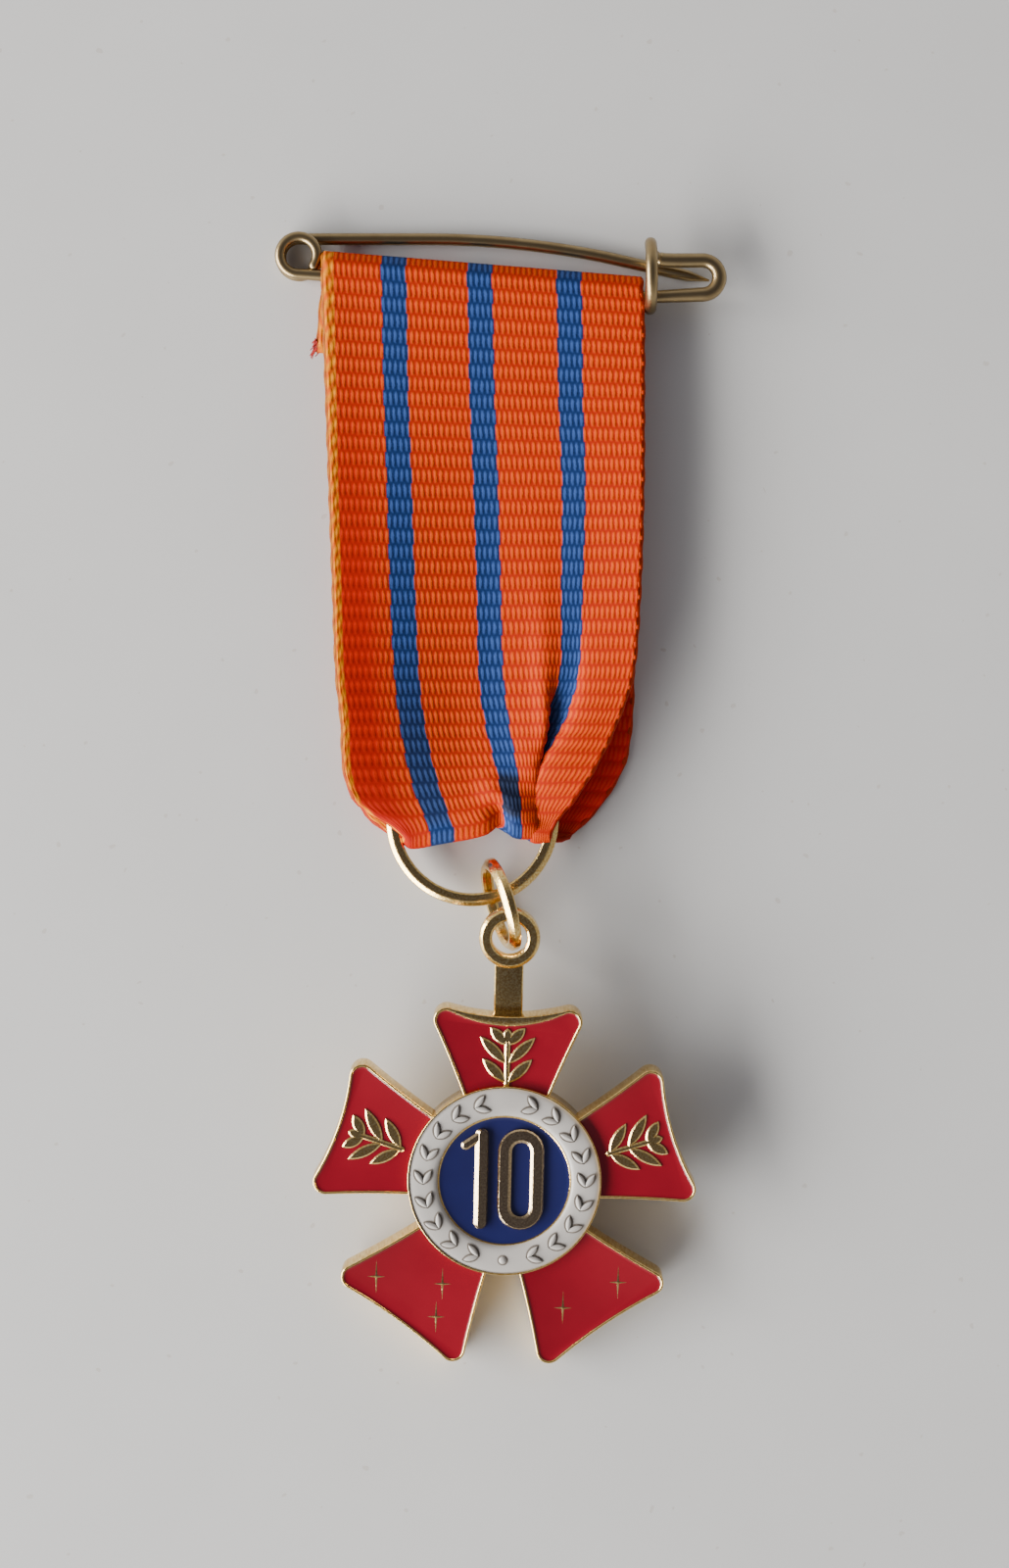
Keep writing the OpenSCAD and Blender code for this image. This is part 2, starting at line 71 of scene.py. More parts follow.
def add_node(tree, kind, values=None, **settings):
    """One node of a material, with its settings and the values of its inputs."""
    node = tree.nodes.new("ShaderNode" + kind)
    for name, value in settings.items():
        setattr(node, name, value)
    set_inputs(tree, node, values or {})
    return node


def add_math(tree, operation, *values):
    """The result of one sum on numbers or sockets."""
    return add_node(tree, "Math", dict(enumerate(values)), operation=operation).outputs[0]


def blend_colours(tree, share, first, second):
    """A colour between two others, by a share from 0 to 1."""
    node = add_node(tree, "Mix", {0: share, 6: first, 7: second}, data_type="RGBA")
    return node.outputs[2]


def add_noise(tree, at, scale, detail, roughness=0.5):
    """A cloudy pattern, as a share round one half."""
    values = {"Vector": at, "Scale": scale, "Detail": detail, "Roughness": roughness}
    return add_node(tree, "TexNoise", values).outputs[0]


def place_on_piece(tree):
    """Where each point of a piece lies, in metres, for the pattern on it."""
    return add_node(tree, "TexCoord").outputs["Object"]


table_material, tree, shader = new_material("table_top")
at = place_on_piece(tree)
mottle = add_noise(tree, at, 60, 5, 0.6)
speck_noise = add_noise(tree, at, 900, 1)
specks = add_math(tree, "GREATER_THAN", speck_noise, 0.76)
greys = blend_colours(tree, mottle, (0.60, 0.595, 0.585, 1), (0.66, 0.655, 0.645, 1))
greys = blend_colours(tree, add_math(tree, "MULTIPLY", specks, 0.35), greys, (0.42, 0.36, 0.30, 1))
set_inputs(tree, shader, {"Base Color": greys, "Roughness": 0.55, "Specular IOR Level": 0.3})

shape = bmesh.new()
bmesh.ops.create_grid(shape, x_segments=1, y_segments=1, size=0.6)
mesh = bpy.data.meshes.new("table_top")
shape.to_mesh(mesh)
shape.free()
mesh.materials.append(table_material)
table = bpy.data.objects.new("table_top", mesh)
bpy.context.scene.collection.objects.link(table)

# A wide, low window at the left gives soft light, and the room overhead is dim, so that flat metal looks
# smoky and metal that leans to the left looks pale.
window_data = bpy.data.lights.new("window", "AREA")
window_data.shape = "RECTANGLE"
window_data.size = 1.1
window_data.size_y = 0.27
window_data.energy = 20
window_data.color = (1.0, 0.985, 0.96)
window = bpy.data.objects.new("window", window_data)
window.location = (-0.575, -0.215, 0.235)
window.rotation_euler = (Vector((0, 0, 0)) - window.location).to_track_quat("-Z", "Y").to_euler()
bpy.context.scene.collection.objects.link(window)


def rescale(tree, value, start, end, low=0.0, high=1.0):
    """How far a value has come from one number to another, as a share or between two new numbers."""
    return add_node(tree, "MapRange", {0: value, 1: start, 2: end, 3: low, 4: high}).outputs[0]


room = bpy.data.worlds.new("room")
room.use_nodes = True
bpy.context.scene.world = room
tree = room.node_tree
way = add_node(tree, "TexCoord").outputs["Generated"]
aims = add_node(tree, "SeparateXYZ", {0: way}).outputs
ramp = add_node(tree, "ValToRGB", {0: aims[2]})
ramp.color_ramp.elements[0].position = 0.0
ramp.color_ramp.elements[0].color = (0.75, 0.735, 0.71, 1)
ramp.color_ramp.elements[1].position = 1.0
ramp.color_ramp.elements[1].color = (0.075, 0.075, 0.100, 1)
for place, tone in ((0.5, (0.50, 0.49, 0.48, 1)), (0.86, (0.100, 0.100, 0.125, 1))):
    ramp.color_ramp.elements.new(place).color = tone
dimmer = rescale(tree, aims[0], -1, 1, 1.65, 0.65)
set_inputs(tree, tree.nodes["Background"], {"Color": ramp.outputs[0], "Strength": dimmer})

# The pin is one length of dull brass wire. Its fixed part starts as the upper turn of the spring coil,
# runs through the ribbon's top fold, and is bent back into a flat catch and up into a hook over the needle.
MM = 0.001
MIDDLE = Vector((-0.15, 0.0012, 0))


def place_flat():
    """Where a piece that is drawn flat, in millimetres, lies on the table."""
    return Matrix.Scale(MM, 4) @ Matrix.Translation(-MIDDLE)


def make_piece(name, shape, material, place, sharp=40):
    """Turns a shape drawn in millimetres into a finished piece of the medal."""
    bmesh.ops.transform(shape, matrix=place, verts=shape.verts)
    mesh = bpy.data.meshes.new(name)
    shape.to_mesh(mesh)
    shape.free()
    mesh.shade_smooth()
    mesh.set_sharp_from_angle(angle=math.radians(sharp))
    mesh.materials.append(material)
    piece = bpy.data.objects.new(name, mesh)
    bpy.context.scene.collection.objects.link(piece)
    return piece


def mix(a, b, share):
    """A number between two others."""
    return a + (b - a) * share


def spline(rows, s):
    """A smooth curve through a list of points, at place s."""
    last = len(rows) - 1
    i = min(math.floor(s), last - 1)
    t = s - i
    a, b, c, d = (rows[min(max(k, 0), last)] for k in (i - 1, i, i + 1, i + 2))
    return 0.5 * (2 * b + (c - a) * t + (2 * a - 5 * b + 4 * c - d) * t * t
                  + (3 * b - a - 3 * c + d) * t ** 3)


def level_arc(centre, radius, z, start, end, steps):
    """Points on a level circle, from one angle in degrees to another."""
    turns = [math.radians(mix(start, end, i / steps)) for i in range(steps + 1)]
    return [Vector((centre[0] + radius * math.cos(a), centre[1] + radius * math.sin(a), z)) for a in turns]


def only(parts, kind):
    """The parts of one kind, from what an operator gives back."""
    return [part for part in parts if isinstance(part, kind)]


def edges_of(verts):
    """The edges that meet at some points."""
    return list({edge for vert in verts for edge in vert.link_edges})


def draw_wire(shape, path, radii, sides=20):
    """Draws a closed round wire along a path, with a radius for each of its points."""
    ways = [(path[min(i + 1, len(path) - 1)] - path[max(i - 1, 0)]).normalized() for i in range(len(path))]
    side = Vector((0, 0, 1)) if abs(ways[0].z) < 0.9 else Vector((1, 0, 0))
    places = []
    for point, way, radius in zip(path, ways, radii):
        side = (side - side.dot(way) * way).normalized()
        turn = Matrix((side, way.cross(side), way)).transposed().to_4x4()
        places.append(Matrix.Translation(point) @ turn @ Matrix.Scale(radius, 4))
    ring = bmesh.ops.create_circle(shape, cap_ends=True, segments=sides, radius=1, matrix=places[0])["verts"]
    edges = edges_of(ring)
    for before, after in zip(places, places[1:]):
        made = bmesh.ops.extrude_edge_only(shape, edges=edges)["geom"]
        edges = only(made, bmesh.types.BMEdge)
        ring = only(made, bmesh.types.BMVert)
        bmesh.ops.transform(shape, matrix=after @ before.inverted(), verts=ring)
    bmesh.ops.contextual_create(shape, geom=edges)


def round_ends(path, radii):
    """Adds the small rings that round off the two ends of a wire."""
    for end, next_in in ((0, 1), (-1, -2)):
        way = (path[end] - path[next_in]).normalized() * radii[end]
        bits = [(path[end] + way * math.sin(a), radii[end] * math.cos(a)) for a in (0.5, 1.0, 1.4)]
        if end == 0:
            path[:0] = [point for point, _ in reversed(bits)]
            radii[:0] = [radius for _, radius in reversed(bits)]
        else:
            path += [point for point, _ in bits]
            radii += [radius for _, radius in bits]


PIN_R = 0.47
COIL_WIRE_R = 0.42
WIRE_Z = 1.52
NEEDLE_Z = 0.52
CATCH_Z = 1.76
COIL_AT = (-15.95, 42.15)
COIL_R = 1.45
COIL_TURN = 300
COIL_STEPS = 60
ARM_END = Vector((11.2, 38.87, WIRE_Z))
CATCH_W = 2.66
CATCH_WIRE_R = 0.57
CATCH_AT = (15.6, 40.37)
CATCH_STEPS = 24
# The catch's far leg, where it turns into the hook: its place along the pin, and how far up and out it is.
LEG = ((13.1, 0), (12.22, 0.1), (11.66, 0.5))
HOOK_AT = (11.5, 40.4)
HOOK_W = 5.1
HOOK_Z = CATCH_Z + 0.4
HOOK_RISE = 2.7
HOOK_STEPS = 6
FLAT_LEG = 2 * HOOK_STEPS
arm_lean = math.degrees(math.atan2(ARM_END.y - (COIL_AT[1] - COIL_R), ARM_END.x - COIL_AT[0]))

turn = level_arc(COIL_AT, COIL_R, WIRE_Z, arm_lean - 90 - COIL_TURN, arm_lean - 90, COIL_STEPS)
arm = [turn[-1].lerp(ARM_END, share) for share in (0.1, 0.3, 0.5, 0.7, 0.9, 1)]
bend = level_arc(CATCH_AT, CATCH_W / 2, CATCH_Z, -90, 90, CATCH_STEPS)
leg_y = CATCH_AT[1] + CATCH_W / 2
bent = [bend[-1]] + [Vector((x, leg_y + out, CATCH_Z + out)) for x, out in LEG]
for degrees in range(20, 201, 30):
    a = math.radians(degrees)
    y, z = HOOK_AT[1] + HOOK_W / 2 * math.cos(a), HOOK_Z + HOOK_RISE * math.sin(a)
    bent.append(Vector((HOOK_AT[0], y, z)))
hook = [spline(bent, k / HOOK_STEPS) for k in range(1, HOOK_STEPS * (len(bent) - 1) + 1)]
path = turn + arm + bend + hook
radii = [COIL_WIRE_R] * len(turn) + [PIN_R] * len(arm) + [CATCH_WIRE_R] * (len(bend) + FLAT_LEG)
radii += [PIN_R] * (len(hook) - FLAT_LEG)
round_ends(path, radii)
shape = bmesh.new()
draw_wire(shape, path, radii)


def add_bump(tree, shader, height, strength, depth):
    """Fine relief on a finish: how strongly it shows, and how deep it is in metres."""
    bump = add_node(tree, "Bump", {"Height": height, "Strength": strength, "Distance": depth}).outputs[0]
    set_inputs(tree, shader, {"Normal": bump})


brass, tree, shader = new_material("dull_brass_wire")
at = place_on_piece(tree)
stains = add_noise(tree, at, 380, 4, 0.65)
drawn_lines = add_node(tree, "Mapping", {"Vector": at, "Scale": (500, 5200, 5200)}).outputs[0]
lines = add_noise(tree, drawn_lines, 1, 3)
browns = blend_colours(tree, stains, (0.20, 0.13, 0.06, 1), (0.50, 0.38, 0.20, 1))
rough = rescale(tree, stains, 0, 1, 0.42, 0.24)
set_inputs(tree, shader, {"Base Color": browns, "Metallic": 1, "Roughness": rough})
add_bump(tree, shader, lines, 0.25, 0.00004)

pin = make_piece("pin_wire", shape, brass, place_flat())
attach(pin, "hanger")
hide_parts("pin_body")

# The needle is the other end of the same wire. It leaves the lower turn of the coil, bows a little
# towards the ribbon, and is ground to a point that rests between the legs of the catch.
NEEDLE_LEN = 32.1
NEEDLE_TURN = 262
NEEDLE_COIL_STEPS = 56
NEEDLE_STEPS = 40
POINT_LEN = 1.8
POINT_R = 0.1
BOW_FROM = -6
BOW_TO = 8
BOW_FLATNESS = 140
FALL_PAST_BOW = 0.225
turn = level_arc(COIL_AT, COIL_R, NEEDLE_Z, 90 + NEEDLE_TURN, 90, NEEDLE_COIL_STEPS)
path = list(turn)
for i in range(1, NEEDLE_STEPS + 1):
    x = COIL_AT[0] + NEEDLE_LEN * i / NEEDLE_STEPS
    bowed, past = max(min(x, BOW_TO) - BOW_FROM, 0), max(x - BOW_TO, 0)
    y = COIL_AT[1] + COIL_R - bowed * bowed / BOW_FLATNESS - FALL_PAST_BOW * past
    path.append(Vector((x, y, NEEDLE_Z)))
tip_x = COIL_AT[0] + NEEDLE_LEN - POINT_LEN
radii = [COIL_WIRE_R] * len(turn)
radii += [mix(PIN_R, POINT_R, max(point.x - tip_x, 0) / POINT_LEN) for point in path[len(turn):]]
round_ends(path, radii)
shape = bmesh.new()
draw_wire(shape, path, radii)
needle = make_piece("pin_needle_wire", shape, brass, place_flat())
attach(needle, "needle")
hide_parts("pin_needle")

# The ribbon is one length of ribbed orange weave with three blue stripes. It is laid double: from a cut
# tail over the pin, down the front with a pleat at the right, through the ring, and up the back.
WEAVE_W = 24.8
RIB = 1.17
RIB_H = 0.06
THREAD = 0.43
STRIPES = (0.22, 0.49, 0.77)
# The places across the ribbon, as shares of its width, at which its rows are drawn.
PLACES = (0, 0.035, 0.12, 0.22, 0.355, 0.43, 0.49, 0.60, 0.665, 0.73, 0.79, 0.84, 1)
# Each row of the front: its height on the picture, how far it slants, how much it follows the hem, the
# places from left to right, and how high they lie.
FRONT = (
    (37.5, 1.6, 0, (-13.87, -13.00, -10.89, -8.41, -5.06, -3.20, -1.71, 1.02, 2.63, 4.24, 5.73, 6.97, 10.95),
     (2.75, 2.68, 2.60, 2.58, 2.56, 2.55, 2.55, 2.56, 2.57, 2.58, 2.60, 2.62, 2.70)),
    (31.0, 0.9, 0, (-13.62, -12.85, -10.75, -8.30, -4.95, -3.09, -1.58, 1.14, 2.74, 4.33, 5.80, 7.02, 10.94),
     (2.92, 2.86, 2.70, 2.61, 2.52, 2.48, 2.46, 2.48, 2.50, 2.52, 2.56, 2.62, 2.85)),
    (24.0, 0.4, 0, (-13.35, -12.70, -10.55, -8.05, -4.68, -2.80, -1.30, 1.40, 3.00, 4.60, 6.00, 7.20, 10.90),
     (3.18, 3.08, 2.80, 2.60, 2.38, 2.29, 2.24, 2.30, 2.35, 2.40, 2.50, 2.60, 3.00)),
    (16.1, 0, 0, (-13.05, -12.45, -10.30, -7.80, -4.45, -2.55, -1.07, 1.60, 3.15, 4.55, 5.85, 6.95, 10.66),
     (3.42, 3.32, 2.96, 2.66, 2.33, 2.20, 2.14, 2.28, 2.40, 2.40, 2.50, 2.60, 3.10)),
    (9.6, 0, 0, (-12.80, -12.25, -10.00, -7.50, -4.20, -2.40, -0.92, 1.85, 3.25, 4.42, 5.65, 6.60, 10.14),
     (3.60, 3.50, 3.04, 2.66, 2.23, 2.10, 2.06, 2.30, 2.60, 2.38, 2.42, 2.78, 3.20)),
    (5.6, 0, 0, (-12.39, -11.85, -9.60, -7.05, -3.75, -1.90, -0.40, 2.20, 3.40, 3.10, 4.45, 5.60, 8.84),
     (3.65, 3.55, 3.07, 2.67, 2.22, 2.14, 2.18, 2.60, 2.88, 2.10, 2.25, 2.95, 3.25)),
    (2.1, 0, 0.05, (-12.23, -11.70, -9.10, -6.33, -3.00, -1.05, 0.38, 2.35, 2.70, 2.20, 2.75, 3.40, 7.15),
     (3.55, 3.45, 3.00, 2.65, 2.38, 2.45, 2.62, 2.95, 2.70, 2.25, 2.40, 3.00, 3.30)),
    (-0.5, 0, 0.4, (-11.40, -10.90, -8.30, -5.55, -2.30, -0.55, 0.70, 2.30, 2.45, 2.00, 2.05, 2.30, 5.50),
     (3.10, 3.00, 2.80, 2.65, 2.65, 3.00, 3.05, 2.65, 2.50, 2.10, 2.10, 2.50, 3.10)),
    (-2.0, 0, 0.8, (-9.40, -8.90, -7.20, -4.95, -1.80, -0.25, 0.85, 2.35, 2.45, 2.10, 2.15, 2.45, 4.30),
     (2.30, 2.55, 2.65, 2.70, 2.80, 2.60, 3.00, 2.75, 2.45, 2.10, 2.10, 2.45, 2.70)),
)
# The hem, where the ribbon turns back: the places along its front and its back, and how round each is.
HEM_FRONT_X = (-7.7, -7.5, -6.9, -4.75, -1.5, -0.12, 0.90, 2.4, 2.45, 2.2, 2.2, 2.5, 3.7)
HEM_FRONT_Y = (-3.3, -3.7, -4.05, -3.66, -3.05, -2.2, -3.15, -3.3, -3.45, -3.5, -3.5, -3.6, -3.5)
HEM_FRONT_Z = (2.2, 2.45, 2.5, 2.6, 2.5, 2.2, 2.8, 2.7, 2.4, 2.15, 2.15, 2.4, 2.5)
HEM_BACK_X = (-8.9, -8.5, -7.6, -6.0, -3.6, -1.2, 0.5, 1.7, 2.1, 2.6, 3.2, 3.9, 5.4)
HEM_BACK_Y = (-3.3, -3.5, -3.8, -3.66, -3.05, -2.6, -3.0, -3.3, -3.5, -3.5, -3.6, -3.7, -3.6)
HEM_ROUND = (0.35, 0.6, 0.9, 1, 1, 1, 1, 1, 1, 1, 0.9, 0.8, 0.5)
HEM_LEVEL = -3.66
HEM_STEPS = 8
# The front's shape passes into the back's from this share of the turn on, over the next share.
PASSING_FROM = 0.35
PASSING_OVER = 0.6
BACK_Z = 0.42
BACK_LEVEL = -2.5
# Each row of the back: its height on the picture, how much it follows the hem, its height, its two edges.
BACK = ((-1.6, 0.5, 0.45, -10.35, 6.7), (-0.4, 0.25, 0.42, -11.25, 7.85), (1.4, 0.1, 0.36, -11.85, 9.05),
        (3.1, 0, 0.30, -12.1, 9.75), (6.2, 0, 0.27, -12.35, 10.15), (10.6, 0, 0.27, -12.65, 10.3),
        (16, 0, 0.27, -12.9, 10.45), (27, 0, 0.27, -13.3, 10.65), (35.6, 0, 0.27, -13.6, 10.75))
# Each row of the cut tail: its height on the picture, its slant, its height, its two edges.
TAIL = ((34.4, 0.5, 0.95, -14.45, 10.25), (36.0, 0.8, 0.90, -14.35, 10.4), (37.4, 1.2, 0.72, -14.25, 10.5),
        (38.6, 1.6, 0.52, -14.1, 10.65))
TOP_LEFT = (-13.95, 42.42)
TOP_RIGHT = (10.85, 40.4)
FOLD_R = 1.02
FOLD_STEPS = 8
CLOTH_T = 0.42


def ease(x):
    """A share from 0 to 1 that starts and ends slowly."""
    x = min(max(x, 0), 1)
    return x * x * (3 - 2 * x)


rows = []
for y, slant, z, left, right in TAIL:
    rows.append([Vector((mix(left, right, u), y + slant * (0.5 - u), z)) for u in PLACES])
for step in range(FOLD_STEPS + 1):
    a = math.pi * (1 - step / FOLD_STEPS)
    top = [mix(TOP_LEFT[1], TOP_RIGHT[1], u) - CLOTH_T / 2 - FOLD_R * (1 - math.sin(a)) for u in PLACES]
    rows.append([Vector((mix(TOP_LEFT[0], TOP_RIGHT[0], u), y, WIRE_Z + FOLD_R * math.cos(a)))
                 for u, y in zip(PLACES, top)])
for y, slant, lift, xs, zs in FRONT:
    rows.append([Vector((x, y + slant * (0.5 - u) + lift * (hem - HEM_LEVEL), z))
                 for u, x, z, hem in zip(PLACES, xs, zs, HEM_FRONT_Y)])
for step in range(HEM_STEPS + 1):
    a = math.pi * step / HEM_STEPS
    share = ease((step / HEM_STEPS - PASSING_FROM) / PASSING_OVER)
    row = []
    for i in range(len(PLACES)):
        x = mix(HEM_FRONT_X[i], HEM_BACK_X[i], share)
        y = mix(HEM_FRONT_Y[i], HEM_BACK_Y[i], share) + HEM_ROUND[i] * (1 - math.sin(a))
        z = (HEM_FRONT_Z[i] + BACK_Z) / 2 + (HEM_FRONT_Z[i] - BACK_Z) / 2 * math.cos(a)
        row.append(Vector((x, y, z)))
    rows.append(row)
for y, follow, z, left, right in BACK:
    rows.append([Vector((mix(left, right, u), y + follow * (hem + around - BACK_LEVEL), z))
                 for u, hem, around in zip(PLACES, HEM_BACK_Y, HEM_ROUND)])


def across_weights(u):
    """The places next to a point across the ribbon, and the share that each has in it."""
    i = max(k for k in range(len(PLACES) - 1) if PLACES[k] <= u)
    width = PLACES[i + 1] - PLACES[i]
    t = (u - PLACES[i]) / width
    shares = {i: 1 - 3 * t ** 2 + 2 * t ** 3, i + 1: 3 * t ** 2 - 2 * t ** 3}
    for at, pull in ((i, t - 2 * t ** 2 + t ** 3), (i + 1, t ** 3 - t ** 2)):
        before, after = max(at - 1, 0), min(at + 1, len(PLACES) - 1)
        part = pull * width / (PLACES[after] - PLACES[before])
        shares[after] = shares.get(after, 0) + part
        shares[before] = shares.get(before, 0) - part
    return list(shares.items())


# The rows are set out anew at even steps along the ribbon, four to each rib.
FINE_STEPS = 16
ROWS_PER_RIB = 4
COLUMNS = 100
fine = [[spline([row[i] for row in rows], s / FINE_STEPS) for i in range(len(PLACES))]
        for s in range(FINE_STEPS * (len(rows) - 1) + 1)]
lengths = [0]
for before, after in zip(fine, fine[1:]):
    steps = [(b - a).length for a, b in zip(before[2:-1], after[2:-1])]
    lengths.append(lengths[-1] + sum(steps) / len(steps))
RIBBON_LEN = lengths[-1]
ROWS = round(RIBBON_LEN / RIB * ROWS_PER_RIB)
even_rows = []
k = 0
for i in range(ROWS + 1):
    goal = RIBBON_LEN * i / ROWS
    while k < len(lengths) - 2 and lengths[k + 1] < goal:
        k += 1
    share = (goal - lengths[k]) / (lengths[k + 1] - lengths[k])
    even_rows.append([a.lerp(b, share) for a, b in zip(fine[k], fine[k + 1])])

columns = [across_weights(k / COLUMNS) for k in range(COLUMNS + 1)]
cloth = [[sum((row[i] * share for i, share in column), Vector()) for column in columns] for row in even_rows]

shape = bmesh.new()
shape.loops.layers.uv.new("weave")
bmesh.ops.create_grid(shape, x_segments=COLUMNS, y_segments=ROWS, size=0.5, calc_uvs=True)
for vert in shape.verts:
    i, k = round((vert.co.y + 0.5) * ROWS), round((vert.co.x + 0.5) * COLUMNS)
    along = cloth[min(i + 1, ROWS)][k] - cloth[max(i - 1, 0)][k]
    aside = cloth[i][min(k + 1, COLUMNS)] - cloth[i][max(k - 1, 0)]
    rib = RIB_H * math.cos(2 * math.pi * RIBBON_LEN * i / ROWS / RIB)
    vert.co = cloth[i][k] + rib * aside.cross(along).normalized()

ribbon_weave, tree, shader = new_material("ribbed_ribbon")
weave_at = add_node(tree, "UVMap", uv_map="weave").outputs[0]
u, v = add_node(tree, "SeparateXYZ", {0: weave_at}).outputs[:2]
across = add_math(tree, "MULTIPLY", u, WEAVE_W)
along = add_math(tree, "MULTIPLY", v, RIBBON_LEN)
flat_at = add_node(tree, "CombineXYZ", {0: across, 1: along}).outputs[0]
wander = add_noise(tree, flat_at, 1.1, 2)
hairs = add_noise(tree, flat_at, 5, 3)
uneven = add_noise(tree, flat_at, 0.12, 2)

# Threads float over each rib and dip at its sides, half a thread out of step from one rib to the next. The
# edges of the stripes jump a little to and fro from rib to rib.
ribs = add_math(tree, "MULTIPLY_ADD", wander, 0.12, add_math(tree, "MULTIPLY", along, 1 / RIB))
rib_number = add_math(tree, "FLOOR", add_math(tree, "ADD", ribs, 0.5))
in_rib = add_math(tree, "ABSOLUTE", add_math(tree, "SUBTRACT", ribs, rib_number))
rib_end = add_math(tree, "POWER", add_math(tree, "MULTIPLY", in_rib, 2), 3)
phase = add_math(tree, "MULTIPLY", wander, 2.4)
thread_turn = add_math(tree, "MULTIPLY_ADD", across, 2 * math.pi / THREAD, phase)
thread = add_math(tree, "COSINE", add_math(tree, "MULTIPLY_ADD", rib_number, math.pi, thread_turn))
bulge = add_math(tree, "MULTIPLY_ADD", thread, 0.5, 0.5)
floats = add_math(tree, "MULTIPLY", add_math(tree, "SUBTRACT", 1, rib_end), bulge)
hairy = add_math(tree, "MULTIPLY_ADD", hairs, 0.7, floats)
lit = add_node(tree, "MapRange", {0: hairy, 1: 0.3, 2: 1.25}, interpolation_type="SMOOTHSTEP").outputs[0]
rib_side = add_math(tree, "COSINE", add_math(tree, "MULTIPLY", rib_number, math.pi))
jagged = add_math(tree, "ADD", u, add_math(tree, "MULTIPLY", rib_side, 0.002))
off = [add_math(tree, "ABSOLUTE", add_math(tree, "SUBTRACT", jagged, centre)) for centre in STRIPES]
nearest = add_math(tree, "MINIMUM", add_math(tree, "MINIMUM", off[0], off[1]), off[2])
stripe = rescale(tree, nearest, 0.0405, 0.0375)

# The orange is painted redder, as painted shade with red bounce light, in a smooth strip beside the left
# edge, darker towards the hem, and on the layer behind the pleat. The left edge is bound in a yellower
# thread.
# Places along the ribbon are in millimetres from the cut tail.
orange = blend_colours(tree, lit, (0.42, 0.012, 0.0002, 1), (0.70, 0.082, 0.0004, 1))
orange = blend_colours(tree, add_math(tree, "MULTIPLY", uneven, 0.3), orange, (0.62, 0.034, 0.0003, 1))
beside = rescale(tree, u, 0.10, 0.18, 0.9, 0)
below = rescale(tree, along, 15, 32)
behind = rescale(tree, along, 53, 57, 0, 0.8)
fading = rescale(tree, along, 62, 78, 1, 0)
smooth_strip = add_math(tree, "MULTIPLY", beside, below)
red_shade_share = add_math(tree, "MULTIPLY", add_math(tree, "MAXIMUM", smooth_strip, behind), fading)
by_hem = rescale(tree, along, 45, 50)
red = blend_colours(tree, by_hem, (0.58, 0.010, 0.0010, 1), (0.34, 0.004, 0.0003, 1))
# The layer behind the pleat is painted a lighter red: painted bounce light in the pleat's shade.
red = blend_colours(tree, behind, red, (0.85, 0.028, 0.030, 1))
orange = blend_colours(tree, red_shade_share, orange, red)
edge_share = rescale(tree, u, 0.029, 0.034, 1, 0)
strands = add_node(tree, "TexWave", {"Vector": flat_at, "Scale": 0.546, "Distortion": 1.5},
                   bands_direction="DIAGONAL").outputs[0]
edge_thread = blend_colours(tree, strands, (0.60, 0.085, 0.0004, 1), (0.74, 0.24, 0.0010, 1))
orange = blend_colours(tree, edge_share, orange, edge_thread)

# The blue is painted navy near the hem, as painted shade: the right stripe beside the pleat, the middle and
# right ones where the cloth is pinched, and the left one where the corner curls.
PAST_LEFT = 0.35
PAST_MIDDLE = 0.65
blue = blend_colours(tree, lit, (0.008, 0.026, 0.11, 1), (0.036, 0.086, 0.28, 1))
navy_shade = blend_colours(tree, lit, (0.010, 0.013, 0.028, 1), (0.020, 0.028, 0.058, 1))
slanting = add_math(tree, "MULTIPLY_ADD", u, -56, along)
pleat_shade = add_math(tree, "MULTIPLY", add_math(tree, "GREATER_THAN", u, PAST_MIDDLE),
                   rescale(tree, slanting, -1.4, 0.1, 0, 0.5))
pinch_shade = add_math(tree, "MULTIPLY", add_math(tree, "GREATER_THAN", u, PAST_LEFT),
                   rescale(tree, along, 47.3, 48.3, 0, 0.9))
curl_shade = add_math(tree, "MULTIPLY", add_math(tree, "LESS_THAN", u, PAST_LEFT),
                  rescale(tree, along, 37, 45, 0, 0.45))
shaded = add_math(tree, "MAXIMUM", add_math(tree, "MAXIMUM", pleat_shade, pinch_shade), curl_shade)
in_front = rescale(tree, along, 51.2, 51.9, 1, 0)
blue = blend_colours(tree, add_math(tree, "MULTIPLY", shaded, in_front), blue, navy_shade)
striped = blend_colours(tree, stripe, orange, blue)
set_inputs(tree, shader, {"Base Color": striped, "Roughness": 0.62, "Specular IOR Level": 0.1})
raised = add_math(tree, "MULTIPLY", lit, add_math(tree, "MULTIPLY_ADD", smooth_strip, -0.6, 1))
add_bump(tree, shader, raised, 0.45, 0.00007)

ribbon = make_piece("ribbon_weave", shape, ribbon_weave, place_flat(), sharp=180)
wall = ribbon.modifiers.new("wall", "SOLIDIFY")
wall.thickness = CLOTH_T * MM
wall.offset = 0
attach(ribbon, "hanger")
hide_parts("ribbon")

# The ribbon's two edges are bound by the turning weft, which shows as a thin twisted cord of a yellower
# orange. It reddens towards the right edge and towards the hem.
selvage, tree, shader = new_material("selvage_thread")
at = place_on_piece(tree)
tilted = add_node(tree, "Mapping", {"Vector": at, "Rotation": (0, 0, 0.7)}).outputs[0]
twist = add_node(tree, "TexWave", {"Vector": tilted, "Scale": 340, "Distortion": 3, "Detail": 2,
                                   "Detail Scale": 2}).outputs[0]
spot = add_node(tree, "SeparateXYZ", {0: at}).outputs
at_right = rescale(tree, spot[0], 0, 0.004)
by_hem = rescale(tree, spot[1], 0.004, -0.001, 0, 0.85)
cord = blend_colours(tree, twist, (0.24, 0.045, 0.0002, 1), (0.32, 0.10, 0.0005, 1))
cord = blend_colours(tree, at_right, cord, (0.42, 0.030, 0.0003, 1))
cord = blend_colours(tree, by_hem, cord, (0.34, 0.010, 0.0003, 1))
set_inputs(tree, shader, {"Base Color": cord, "Roughness": 0.55, "Specular IOR Level": 0.15})
add_bump(tree, shader, twist, 0.3, 0.00005)

